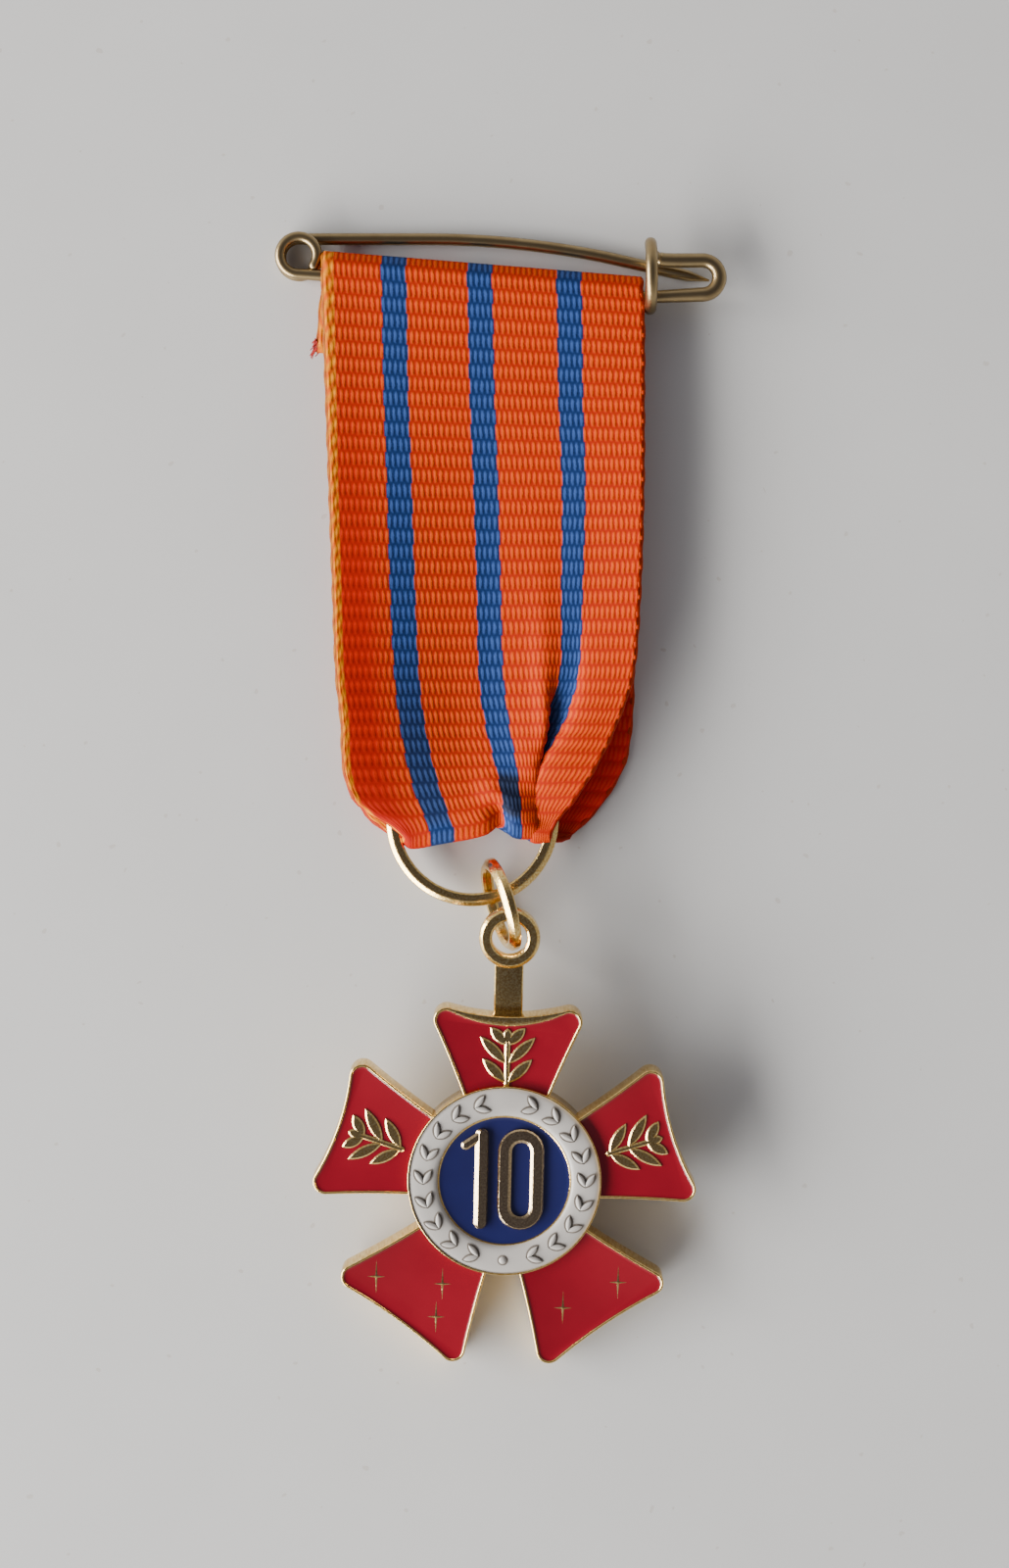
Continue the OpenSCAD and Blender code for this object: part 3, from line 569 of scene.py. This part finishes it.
TABLE_GAP = 0.04
EDGE_IN = 0.06
TWIST_R = 0.03
ROWS_PER_TWIST = 8
# Each cord: its column of the cloth, the side that the cloth is on, its radius, and how low it hangs.
CORDS = ((0, 1, 0.27, 0.17), (COLUMNS, -1, 0.19, 0))
shape = bmesh.new()
for k, inward, cord_r, drop in CORDS:
    path = []
    radii = []
    for i in range(0, ROWS + 1, 2):
        aside = (cloth[i][k + 3 * inward] - cloth[i][k]).normalized()
        turn = 2 * math.pi * i / ROWS_PER_TWIST
        point = cloth[i][k] + (EDGE_IN + TWIST_R * math.cos(turn)) * aside
        point.z = max(point.z + TWIST_R * math.sin(turn) - drop, cord_r + TABLE_GAP)
        path.append(point)
        radii.append(cord_r + TWIST_R * math.sin(turn))
    draw_wire(shape, path, radii, sides=10)
edges = make_piece("ribbon_selvages", shape, selvage, place_flat())
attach(edges, "hanger")

# The cut end of the ribbon's tail is frayed. Short red threads of it lie loose along the cut, and a tuft of
# them sticks out beside the left edge. Sines of a thread's number stand in for chance.
fray_red, tree, shader = new_material("frayed_thread")
at = place_on_piece(tree)
fibres = add_noise(tree, at, 2500, 2)
reds = blend_colours(tree, fibres, (0.20, 0.004, 0.006, 1), (0.46, 0.018, 0.010, 1))
set_inputs(tree, shader, {"Base Color": reds, "Roughness": 0.6})

THREADS = 26
TUFT = 9
THREAD_RADII = (0.07, 0.065, 0.06, 0.05, 0.03)
shape = bmesh.new()
for i in range(THREADS):
    swing = 0.5 + 0.5 * math.sin(i * 2.4)
    if i < TUFT:
        start = cloth[2][0] + Vector((0.1 - 0.04 * i, 0.08 * i - 0.2, 0.06 * (i % 3)))
        away = Vector((-0.25 - 0.35 * swing, -0.3 - 0.9 * swing, -0.12))
    else:
        start = cloth[0][min(i * 4, COLUMNS)]
        away = Vector((-0.1 + 0.25 * math.sin(i * 1.7), -0.5 - 0.4 * swing, 0))
    curl = Vector((0.2 * math.cos(i * 3.1), 0.1 * math.sin(i * 1.3), 0.05 * math.sin(i * 2.1)))
    path = [start + away * t + curl * math.sin(3 * t) * t for t in (0, 0.25, 0.5, 0.75, 1)]
    draw_wire(shape, path, THREAD_RADII, sides=6)
fray = make_piece("ribbon_fray", shape, fray_red, place_flat())
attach(fray, "hanger")


# The jump ring is a closed ring of pale gilt wire that hangs in the ribbon's lower fold. Its wire is flat on
# top and slants down on the outer side.
def make_gilt(name, dark, light):
    """A gilt finish: fine polishing lines in two tones, and duller where fingers have touched it."""
    material, tree, shader = new_material(name)
    at = place_on_piece(tree)
    grain_at = add_node(tree, "Mapping", {"Vector": at, "Scale": (7000, 7000, 450)}).outputs[0]
    grain = add_noise(tree, grain_at, 1, 3)
    smudges = add_noise(tree, at, 260, 4, 0.6)
    tones = blend_colours(tree, rescale(tree, grain, 0.36, 0.64), dark, light)
    rough = rescale(tree, smudges, 0, 1, 0.22, 0.11)
    set_inputs(tree, shader, {"Base Color": tones, "Metallic": 1, "Roughness": rough})
    add_bump(tree, shader, grain, 0.5, 0.00003)
    return material


gilt = make_gilt("polished_gilt", (0.72, 0.45, 0.13, 1), (0.95, 0.72, 0.32, 1))


def draw_turned(shape, profile, place, steps=160):
    """Draws a turned solid: a profile of distances and heights, spun round the Z axis."""
    line = [bmesh.ops.create_vert(shape, co=(r, 0, z))["vert"][0] for r, z in profile]
    edges = [bmesh.ops.contextual_create(shape, geom=[a, b])["edges"][0] for a, b in zip(line, line[1:])]
    bmesh.ops.spin(shape, geom=line + edges, cent=(0, 0, 0), axis=(0, 0, 1), angle=2 * math.pi, steps=steps,
                   use_merge=True)
    bmesh.ops.remove_doubles(shape, verts=shape.verts, dist=0.0001)
    bmesh.ops.recalc_face_normals(shape, faces=shape.faces)
    bmesh.ops.transform(shape, matrix=place, verts=shape.verts)


RING_R = 6.2
RING_AT = (-2.36, -1.98, WIRE_Z)
# The section of the ring's wire, from its middle: how far out and how far up.
RING_WIRE = ((-0.50, 0.28), (-0.46, 0.38), (-0.36, 0.44), (0.10, 0.45), (0.16, 0.43), (0.22, 0.40),
             (0.48, 0.21), (0.53, 0.14), (0.55, 0.04), (0.54, -0.25), (0.44, -0.40), (0.28, -0.44),
             (-0.28, -0.44), (-0.42, -0.40), (-0.50, -0.25), (-0.50, 0.28))
shape = bmesh.new()
draw_turned(shape, [(RING_R + out, up) for out, up in RING_WIRE], Matrix.Translation(RING_AT))
jump_ring = make_piece("jump_ring", shape, gilt, place_flat(), sharp=15)
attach(jump_ring, "hanger")
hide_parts("ribbon_ring")

# The small link is a ring of the same gilt wire. It stands on its edge, goes round the jump ring, and
# carries the cross by its eyelet.
LINK_R = 3.3
LINK_WIRE_R = 0.4
LINK_AT = (-0.15, -8.5)
LINK_LEAN = 78
LINK_TURN = 15.6
# The section of the link's wire: a flat crown between two slanting sides.
LINK_WIRE = ((-0.40, 0.22), (-0.30, 0.42), (-0.10, 0.48), (0.02, 0.47), (0.08, 0.43), (0.33, 0.18),
             (0.38, 0.12), (0.40, 0.06), (0.40, -0.32), (0.37, -0.39), (0.28, -0.44), (0.12, -0.47),
             (-0.10, -0.48), (-0.30, -0.42), (-0.40, -0.22), (-0.40, 0.22))
lean = math.radians(LINK_LEAN)
link_z = LINK_R * math.sin(lean) + LINK_WIRE_R + TABLE_GAP
turned = Matrix.Rotation(math.radians(LINK_TURN - 90), 4, "Z")
link_place = Matrix.Translation((*LINK_AT, link_z)) @ turned @ Matrix.Rotation(lean, 4, "X")
shape = bmesh.new()
draw_turned(shape, [(LINK_R + out, up) for out, up in LINK_WIRE], link_place, steps=120)
link = make_piece("small_link", shape, gilt, place_flat(), sharp=15)
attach(link, "hanger")
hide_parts("link_ring")

# The pendant is one gilt casting. Five flat arms with hollow sides and dipped ends stand round a raised
# medallion, each with a softened rim round a pocket for enamel.
CROSS_AT = (0.133, -29.77, 2.06)
CROSS_TILT = 8.1
CROSS_TURN = -1.26
turned = Matrix.Rotation(math.radians(CROSS_TURN), 4, "Z")
tilted = Matrix.Rotation(math.radians(CROSS_TILT), 4, "X") @ turned
PENDANT = place_flat() @ Matrix.Translation(CROSS_AT) @ tilted
PLATE_T = 2.1
RIM_W = 0.27
RIM_ROUNDING = 0.12
NECK = Vector((6.76, 3.25, 0))
NECK_ON = Vector((-1.8, -0.25, 0))
SIDE_R = 80
SIDE_STEPS = 10
CORNER_R = 1
CORNER_STEPS = 12
# Each arm: its reach, the angle of its corners in degrees, and the distance of the dip in its end.
ARMS = ((14.68, 20.2, 13.20), (14.83, 18.6, 13.65), (14.88, 20.3, 13.75), (14.88, 20.3, 13.75),
        (14.83, 18.6, 13.65))
# The first arm carries the stem, and its rim is wider along the middle of its end.
WIDE_RIM = 0.48
WIDE_RIM_FROM = 12
WIDE_RIM_HALF = 4.4
# The steps over a rim, up to its top and then down into the pocket: how far in and how far up.
RIM_UP = ((0.03, 0.07), (0.06, 0.04), (0.05, 0.01))
RIM_DOWN = ((0.04, -0.02), (0.05, -0.05), (0.02, -0.5))


def arm_turn(arm):
    """Turns an arm from the X axis to its place. The first one points at the stem."""
    return Matrix.Rotation(math.radians(90 + 72 * arm), 4, "Z")


def draw_arc(shape, vert, centre, turn, steps):
    """Draws on from a point, round a centre, and gives back the last point."""
    made = bmesh.ops.spin(shape, geom=[vert], cent=centre, axis=(0, 0, 1), angle=turn, steps=steps)
    return only(made["geom_last"], bmesh.types.BMVert)[0]


def angle_between(a, b):
    """The turn from one level way to another."""
    return math.atan2(a.x * b.y - a.y * b.x, a.x * b.x + a.y * b.y)


def mirror_outline(shape, before):
    """Mirrors a half outline, which is all but the earlier points, and gives back the whole outline."""
    half = [vert for vert in shape.verts if vert not in before]
    bmesh.ops.mirror(shape, geom=half + edges_of(half), axis="Y", merge_dist=0.001)
    return [vert for vert in shape.verts if vert not in before]


def draw_arm(shape, arm, inset, dip_inset, z):
    """Draws the flat face of one arm, along X, with its long sides and its end moved in."""
    reach, corner_angle, dip = ARMS[arm]
    turned = Matrix.Rotation(math.radians(corner_angle), 3, "Z")
    corner_at = turned @ Vector((reach - CORNER_R, 0, 0))
    between = corner_at - NECK
    far = SIDE_R + CORNER_R
    along = (SIDE_R ** 2 - far ** 2 + between.length_squared) / (2 * between.length)
    way = between.normalized()
    side_at = NECK + along * way + math.sqrt(SIDE_R ** 2 - along ** 2) * Vector((-way.y, way.x, 0))
    corner = CORNER_R - inset
    depth = dip - dip_inset - corner_at.x
    edge_r = (depth ** 2 + corner_at.y ** 2 - corner ** 2) / (2 * (corner - depth))
    edge_at = Vector((dip - dip_inset + edge_r, 0, 0))
    neck_way = (NECK + NECK_ON - side_at).normalized()
    lift = Vector((0, 0, z))
    before = set(shape.verts)
    vert = bmesh.ops.create_vert(shape, co=side_at + neck_way * (SIDE_R + inset) + lift)["vert"][0]
    turn = angle_between(neck_way, corner_at - side_at)
    vert = draw_arc(shape, vert, side_at + lift, turn, SIDE_STEPS)
    turn = angle_between(side_at - corner_at, edge_at - corner_at)
    vert = draw_arc(shape, vert, corner_at + lift, turn, CORNER_STEPS)
    turn = angle_between(corner_at - edge_at, Vector((-1, 0, 0)))
    draw_arc(shape, vert, edge_at + lift, turn, CORNER_STEPS)
    outline = mirror_outline(shape, before)
    bmesh.ops.contextual_create(shape, geom=[vert for vert in outline if len(vert.link_edges) == 1])
    return bmesh.ops.contextual_create(shape, geom=edges_of(outline))["faces"]


def raise_face(shape, faces, rise):
    """Pulls a flat face straight up into a solid, and gives back its new top."""
    made = bmesh.ops.extrude_face_region(shape, geom=faces)["geom"]
    bmesh.ops.translate(shape, vec=(0, 0, rise), verts=only(made, bmesh.types.BMVert))
    return only(made, bmesh.types.BMFace)


def step_in(shape, faces, inset, rise):
    """Steps a flat face in from its outline, and up or down."""
    bmesh.ops.inset_region(shape, faces=faces, thickness=inset, use_even_offset=True, use_boundary=True)
    verts = list({vert for face in faces for vert in face.verts})
    bmesh.ops.translate(shape, vec=(0, 0, rise), verts=verts)


shape = bmesh.new()
for arm in range(5):
    one = bmesh.new()
    top = raise_face(one, draw_arm(one, arm, 0, 0, 0), PLATE_T - RIM_ROUNDING)
    for inset, rise in RIM_UP:
        step_in(one, top, inset, rise)
    if arm == 0:
        step_in(one, top, 0.02, 0)
        for vert in top[0].verts:
            if vert.co.x > WIDE_RIM_FROM and abs(vert.co.y) < WIDE_RIM_HALF:
                vert.co.x -= WIDE_RIM * (1 - (vert.co.y / WIDE_RIM_HALF) ** 2)
    for inset, rise in RIM_DOWN:
        step_in(one, top, inset, rise)
    bmesh.ops.recalc_face_normals(one, faces=one.faces)
    bmesh.ops.transform(one, matrix=arm_turn(arm), verts=one.verts)
    spare = bpy.data.meshes.new("arm")
    one.to_mesh(spare)
    one.free()
    shape.from_mesh(spare)
    bpy.data.meshes.remove(spare)
arms = make_piece("cross_arms", shape, gilt, PENDANT, sharp=50)
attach(arms, "pendant")
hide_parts("medal_cross")

# The stem is a short flat bar of the same casting, with rounded edges. It ends in the eyelet, a small stout
# ring in the plane of the cross that the link goes through.
EYELET_R = 1.85
EYELET_AT = (0, 19.1, 0.55)
EYELET_WIRE = ((-0.50, 0.46), (-0.44, 0.58), (-0.32, 0.67), (0.20, 0.67), (0.26, 0.65), (0.31, 0.61),
               (0.44, 0.49), (0.48, 0.42), (0.50, 0.32), (0.50, -0.48), (0.40, -0.62), (0.22, -0.67),
               (-0.22, -0.67), (-0.40, -0.62), (-0.50, -0.48), (-0.50, 0.46))
STEM_W = 2.25
STEM_T = 0.75
STEM_EDGE_R = 0.2
STEM_FOOT = 12.7
STEM_HEAD = 17.35
shape = bmesh.new()
eyelet = [(EYELET_R + out, up) for out, up in EYELET_WIRE]
draw_turned(shape, eyelet, Matrix.Translation(EYELET_AT), steps=96)
stem = bmesh.ops.create_cube(shape, size=1)["verts"]
bmesh.ops.scale(shape, vec=(STEM_W, STEM_HEAD - STEM_FOOT, STEM_T), verts=stem)
bmesh.ops.translate(shape, vec=(0, (STEM_HEAD + STEM_FOOT) / 2, STEM_T / 2), verts=stem)
bmesh.ops.bevel(shape, geom=edges_of(stem), affect="EDGES", offset=STEM_EDGE_R, segments=3, profile=0.5,
                material=-1)
hanger_loop = make_piece("stem_and_eyelet", shape, gilt, PENDANT, sharp=15)
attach(hanger_loop, "pendant")
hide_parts("medal_cross")

# The medallion is the round middle of the casting. It stands above the arms, with a thin gilt line round
# the white ring and another round the blue disc.
MEDALLION_R = 7.5
MEDALLION_Z = 2.45
DISC_R = 5.03
LINE_W = 0.13
WHITE_OUTER_R = MEDALLION_R - LINE_W
WHITE_INNER_R = DISC_R + LINE_W
WHITE_Z = MEDALLION_Z - 0.03
WHITE_FLOOR = 2.0
BLUE_Z = MEDALLION_Z - 0.30
BLUE_FLOOR = 1.65
MEDALLION = Matrix.Translation((0, 0.3, 0))
shape = bmesh.new()
draw_turned(shape, (
    (0, 0.02), (MEDALLION_R - 0.05, 0.02), (MEDALLION_R, 0.07), (MEDALLION_R, MEDALLION_Z - 0.08),
    (MEDALLION_R - 0.03, MEDALLION_Z - 0.02), (MEDALLION_R - 0.07, MEDALLION_Z),
    (WHITE_OUTER_R + 0.02, MEDALLION_Z - 0.01), (WHITE_OUTER_R, MEDALLION_Z - 0.06),
    (WHITE_OUTER_R, WHITE_FLOOR), (WHITE_INNER_R, WHITE_FLOOR), (WHITE_INNER_R, BLUE_Z + 0.01),
    (DISC_R + 0.07, BLUE_Z + 0.06), (DISC_R, BLUE_Z + 0.03), (DISC_R, BLUE_FLOOR), (0, BLUE_FLOOR),
), MEDALLION)
medallion = make_piece("medallion", shape, gilt, PENDANT, sharp=50)
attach(medallion, "pendant")
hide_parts("medal_cross")

# A laurel sprig stands on each of the three upper arms, and small four-pointed stars on the two lower
# ones. They are parts of the casting, flat on top, and the enamel is poured round them.
RELIEF_FOOT = 1.6
RELIEF_Z = PLATE_T + 0.03
RED_Z = PLATE_T - 0.12
LEAF_SIDE_STEPS = 8
ROUND_END_STEPS = 12


def draw_leaf(shape, long, wide, place):
    """Draws the flat face of a pointed leaf along X: two arcs from its foot to its tip."""
    bow_r = (long ** 2 + wide ** 2) / (4 * wide)
    centre = Vector((long / 2, wide / 2 - bow_r, 0))
    turn = -2 * math.asin(long / 2 / bow_r)
    before = set(shape.verts)
    vert = bmesh.ops.create_vert(shape, co=(0, 0, 0))["vert"][0]
    draw_arc(shape, vert, centre, turn, LEAF_SIDE_STEPS)
    outline = mirror_outline(shape, before)
    bmesh.ops.transform(shape, matrix=place, verts=outline)
    return bmesh.ops.contextual_create(shape, geom=outline)["faces"]


def draw_stroke(shape, start, end, wide, z):
    """Draws the flat face of a stroke with two round ends."""
    way = Vector((end[0] - start[0], end[1] - start[1], 0))
    aside = Vector((-way.y, way.x, 0)).normalized() * wide / 2
    before = set(shape.verts)
    for at, side in (((end[0], end[1], z), -1), ((start[0], start[1], z), 1)):
        vert = bmesh.ops.create_vert(shape, co=Vector(at) + side * aside)["vert"][0]
        draw_arc(shape, vert, at, math.pi, ROUND_END_STEPS)
    outline = [vert for vert in shape.verts if vert not in before]
    return bmesh.ops.contextual_create(shape, geom=outline)["faces"]


# Each sprig: its arm, and how far it stands out from the others' place.
SPRIGS = ((0, -0.45), (1, 0), (4, 0))
SPRIG_FOOT = 8.4
SPRIG_HEAD = 11.6
SPRIG_STALK_W = 0.42
TIP_LEAF_AT = 11.45
TIP_LEAF = (1.3, 0.75)
# Each pair of leaves: its place on the stalk and its length.
LEAF_PAIRS = ((8.45, 2.7), (9.95, 3.0), (11.45, 1.9))
LEAF_W = 0.85
LEAF_ANGLE = 45
# The middle of each star on the cross, how big its core is, and how far its points are drawn out.
STARS = ((-9.77, -7.62), (-4.63, -8.10), (-5.08, -10.76), (9.0, -7.68), (4.77, -9.83))
STAR_R = 0.12
STAR_WIDER = 4.8
STAR_TALLER = 10
STAR_PEAK = 0.03
shape = bmesh.new()
for arm, outward in SPRIGS:
    place = arm_turn(arm) @ Matrix.Translation((outward, 0, 0))
    faces = [draw_stroke(shape, (SPRIG_FOOT, 0), (SPRIG_HEAD, 0), SPRIG_STALK_W, RELIEF_FOOT)]
    bmesh.ops.transform(shape, matrix=place, verts=faces[0][0].verts)
    tip = place @ Matrix.Translation((TIP_LEAF_AT, 0, RELIEF_FOOT))
    faces.append(draw_leaf(shape, *TIP_LEAF, tip))
    for at, long in LEAF_PAIRS:
        for side in (-1, 1):
            turned = Matrix.Rotation(side * math.radians(LEAF_ANGLE), 4, "Z")
            leaf = Matrix.Translation((at, 0, RELIEF_FOOT)) @ turned
            faces.append(draw_leaf(shape, long, LEAF_W, place @ leaf))
    for face in faces:
        top = raise_face(shape, face, RELIEF_Z - RELIEF_FOOT - 0.09)
        step_in(shape, top, 0.12, 0.08)
for x, y in STARS:
    place = Matrix.Translation((x, y, RELIEF_FOOT))
    star = bmesh.ops.create_circle(shape, cap_ends=True, segments=8, radius=STAR_R, matrix=place)["verts"]
    for point in star[::2]:
        reach = Vector((point.co.x - x, point.co.y - y, 0))
        longer = STAR_WIDER if abs(reach.x) > abs(reach.y) else STAR_TALLER
        bmesh.ops.translate(shape, vec=reach * longer, verts=[point])
    top = raise_face(shape, list(set(star[0].link_faces)), RED_Z - RELIEF_FOOT)
    peak = bmesh.ops.poke(shape, faces=top)["verts"]
    bmesh.ops.translate(shape, vec=(0, 0, STAR_PEAK), verts=peak)
bmesh.ops.recalc_face_normals(shape, faces=shape.faces)
relief = make_piece("sprigs_and_stars", shape, gilt, PENDANT, sharp=30)
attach(relief, "pendant")
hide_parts("medal_cross")

# The pockets of the arms are filled with glossy red enamel. It was poured soft, creeps a little up the rims,
# and has set with faint waves.
def make_enamel(name, dark, light, cloud_scale, wave_scale):
    """A glossy enamel with faint clouds in its colour and faint waves in its surface."""
    material, tree, shader = new_material(name)
    at = place_on_piece(tree)
    clouds = add_noise(tree, at, cloud_scale, 3)
    waves = add_noise(tree, at, wave_scale, 2)
    tones = blend_colours(tree, clouds, dark, light)
    set_inputs(tree, shader, {"Base Color": tones, "Roughness": 0.16, "Specular IOR Level": 0.5,
                              "Coat Weight": 0.5, "Coat Roughness": 0.06})
    add_bump(tree, shader, waves, 0.3, 0.00006)
    return material


ENAMEL_FOOT = 1.62
ENAMEL_CREEP = 0.05
ENAMEL_LAP = 0.02
ENAMEL_STEPS = ((0.05, -0.03), (0.09, -0.02))
WIDE_RIM_SETBACK = 0.42
red_enamel = make_enamel("red_enamel", (0.185, 0.0035, 0.010, 1), (0.26, 0.0055, 0.015, 1), 220, 420)
for arm in range(5):
    shape = bmesh.new()
    end_rim = RIM_W + (WIDE_RIM_SETBACK if arm == 0 else -ENAMEL_LAP)
    foot = draw_arm(shape, arm, RIM_W - ENAMEL_LAP, end_rim, ENAMEL_FOOT)
    top = raise_face(shape, foot, RED_Z + ENAMEL_CREEP - ENAMEL_FOOT)
    for inset, rise in ENAMEL_STEPS:
        step_in(shape, top, inset, rise)
    bmesh.ops.recalc_face_normals(shape, faces=shape.faces)
    enamel = make_piece(f"red_enamel_{arm + 1}", shape, red_enamel, PENDANT @ arm_turn(arm), sharp=60)
    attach(enamel, "pendant")
    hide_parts(f"arm_enamel_{arm + 1}")

# The medallion's outer ring is filled with white enamel, soft at its edges. A low laurel wreath of the same
# white stands on it, closed by a bead at the bottom, with a dark line round each leaf and the bead that is
# partly grime and partly painted shade at the foot of the relief.
white_enamel, tree, shader = new_material("white_enamel")
at = place_on_piece(tree)
cloudy = add_noise(tree, at, 300, 4)
whites = blend_colours(tree, cloudy, (0.405, 0.378, 0.351, 1), (0.513, 0.486, 0.454, 1))
set_inputs(tree, shader, {"Base Color": whites, "Roughness": 0.34, "Specular IOR Level": 0.45})
add_bump(tree, shader, cloudy, 0.3, 0.00005)

# Dark brown for the lines round the wreath's leaves and bead: partly grime, partly painted shade.
grime_and_shade, tree, shader = new_material("grime_and_shade_line")
at = place_on_piece(tree)
patchy = add_noise(tree, at, 900, 3)
browns = blend_colours(tree, patchy, (0.07, 0.055, 0.042, 1), (0.22, 0.19, 0.16, 1))
set_inputs(tree, shader, {"Base Color": browns, "Roughness": 0.6})

WREATH_PAIRS = 9
WREATH_STEP = 17.5
WREATH_SPLAY = 32
WREATH_LEAF = (1.16, 0.40)
DARK_LINE_LEAF = (1.46, 0.72)
DARK_LINE_Z = WHITE_Z + 0.012
BEAD_R = 0.3
BEAD_DARK_LINE_R = 0.42
BEAD_FLATNESS = 0.6
shape = bmesh.new()
floor, inner, outer = WHITE_FLOOR + 0.02, WHITE_INNER_R, WHITE_OUTER_R
draw_turned(shape, (
    (inner, floor), (inner, BLUE_Z + 0.02), (inner + 0.08, BLUE_Z + 0.11), (inner + 0.2, WHITE_Z - 0.09),
    (inner + 0.4, WHITE_Z - 0.03), (inner + 0.75, WHITE_Z), (outer - 0.7, WHITE_Z),
    (outer - 0.35, WHITE_Z - 0.03), (outer - 0.12, WHITE_Z - 0.07), (outer, WHITE_Z - 0.13),
    (outer, floor), (inner, floor),
), MEDALLION)
middle = (outer + inner) / 2
shade_and_grime_faces = []
for half in (-1, 1):
    for pair in range(1, WREATH_PAIRS + 1):
        turned = Matrix.Rotation(math.radians(half * WREATH_STEP * pair - 90), 4, "Z")
        spot = turned @ Matrix.Translation((middle, 0, 0))
        for side in (-1, 1):
            splayed = Matrix.Rotation(math.radians(half * (90 + side * WREATH_SPLAY)), 4, "Z")
            place = MEDALLION @ spot @ splayed
            # Each leaf stands on a larger flat dark leaf: its line of grime and painted shade.
            shade_and_grime_faces += draw_leaf(shape, *DARK_LINE_LEAF, place @ Matrix.Translation((-0.13, 0, DARK_LINE_Z)))
            leaf = draw_leaf(shape, *WREATH_LEAF, place @ Matrix.Translation((0.02, 0, WHITE_Z - 0.02)))
            top = raise_face(shape, leaf, 0.14)
            step_in(shape, top, 0.09, 0.07)
place = MEDALLION @ Matrix.Translation((0, -middle, DARK_LINE_Z))
circle = bmesh.ops.create_circle(shape, cap_ends=True, segments=24, radius=BEAD_DARK_LINE_R, matrix=place)
shade_and_grime_faces += list(set(circle["verts"][0].link_faces))
bead = bmesh.ops.create_uvsphere(shape, u_segments=24, v_segments=12, radius=BEAD_R)["verts"]
place = MEDALLION @ Matrix.Translation((0, -middle, WHITE_Z)) @ Matrix.Scale(BEAD_FLATNESS, 4, (0, 0, 1))
bmesh.ops.transform(shape, matrix=place, verts=bead)
for face in shade_and_grime_faces:
    face.material_index = 1
    if face.normal.z < 0:
        face.normal_flip()
white_ring = make_piece("white_enamel_ring", shape, white_enamel, PENDANT, sharp=50)
white_ring.data.materials.append(grime_and_shade)
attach(white_ring, "pendant")
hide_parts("white_ring")

# The middle of the medallion is filled with deep blue enamel, glossy like the red. It was poured soft too,
# creeps up the gilt line round it, and has sunk a little in the middle.
blue_enamel = make_enamel("blue_enamel", (0.010, 0.011, 0.060, 1), (0.013, 0.015, 0.090, 1), 200, 380)
shape = bmesh.new()
floor, outer = BLUE_FLOOR + 0.03, DISC_R - 0.01
draw_turned(shape, ((0, floor), (outer, floor), (outer, BLUE_Z + 0.03), (DISC_R - 0.08, BLUE_Z + 0.005),
                    (DISC_R - 0.3, BLUE_Z - 0.02), (0, BLUE_Z - 0.03)), MEDALLION)
blue_disc = make_piece("blue_enamel_disc", shape, blue_enamel, PENDANT, sharp=50)
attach(blue_disc, "pendant")
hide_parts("blue_disc")

# The numeral is cast in one with the medallion and stands up through the blue. Its strokes are flat on top
# with slanting sides, and their gilt has a darker tone than the rest of the casting.
NUMERAL_H = 8
NUMERAL_FOOT = 1.7
NUMERAL_Z = MEDALLION_Z + 0.02
STROKE = 1.05
STROKE_SLANT = 0.22
ONE_AT = (-1.79, 0.44)
FLAG_W = 0.7
EDGE_SLANT = 0.15
NOUGHT_AT = (1.25, 0.46)
NOUGHT_W = 3.55
# The steps from the nought's outer edge to the floor of its opening: how far in and how far up.
NOUGHT_STEPS = ((0.1, 0.13), (0.05, 0.02), (STROKE - 0.39, 0), (0.05, -0.02), (0.19, -0.13), (0.02, -0.4))
darker_gilt = make_gilt("darker_gilt", (0.42, 0.30, 0.17, 1), (0.62, 0.47, 0.28, 1))
shape = bmesh.new()
x, y = ONE_AT
head, foot = y + NUMERAL_H / 2, y - NUMERAL_H / 2
upright = draw_stroke(shape, (x, head - STROKE / 2), (x, foot + STROKE / 2), STROKE, NUMERAL_FOOT)
top = raise_face(shape, upright, NUMERAL_Z - STROKE_SLANT - NUMERAL_FOOT)
step_in(shape, top, 0.1, STROKE_SLANT)
for vert in top[0].verts:
    if vert.co.x < x:
        vert.co.x = mix(x, vert.co.x, 0.5)
flag = draw_stroke(shape, (x + 0.1, head - 0.4), (x - 1.25, head - 1.35), FLAG_W, NUMERAL_FOOT)
top = raise_face(shape, flag, NUMERAL_Z - EDGE_SLANT - NUMERAL_FOOT)
step_in(shape, top, 0.17, 0.13)
x, y = NOUGHT_AT
end = (NUMERAL_H - NOUGHT_W) / 2
nought = draw_stroke(shape, (x, y + end), (x, y - end), NOUGHT_W, NUMERAL_FOOT)
top = raise_face(shape, nought, NUMERAL_Z - EDGE_SLANT - NUMERAL_FOOT)
for inset, rise in NOUGHT_STEPS:
    step_in(shape, top, inset, rise)
bmesh.ops.recalc_face_normals(shape, faces=shape.faces)
numeral = make_piece("numeral", shape, darker_gilt, PENDANT, sharp=15)
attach(numeral, "pendant")
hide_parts("medal_cross")
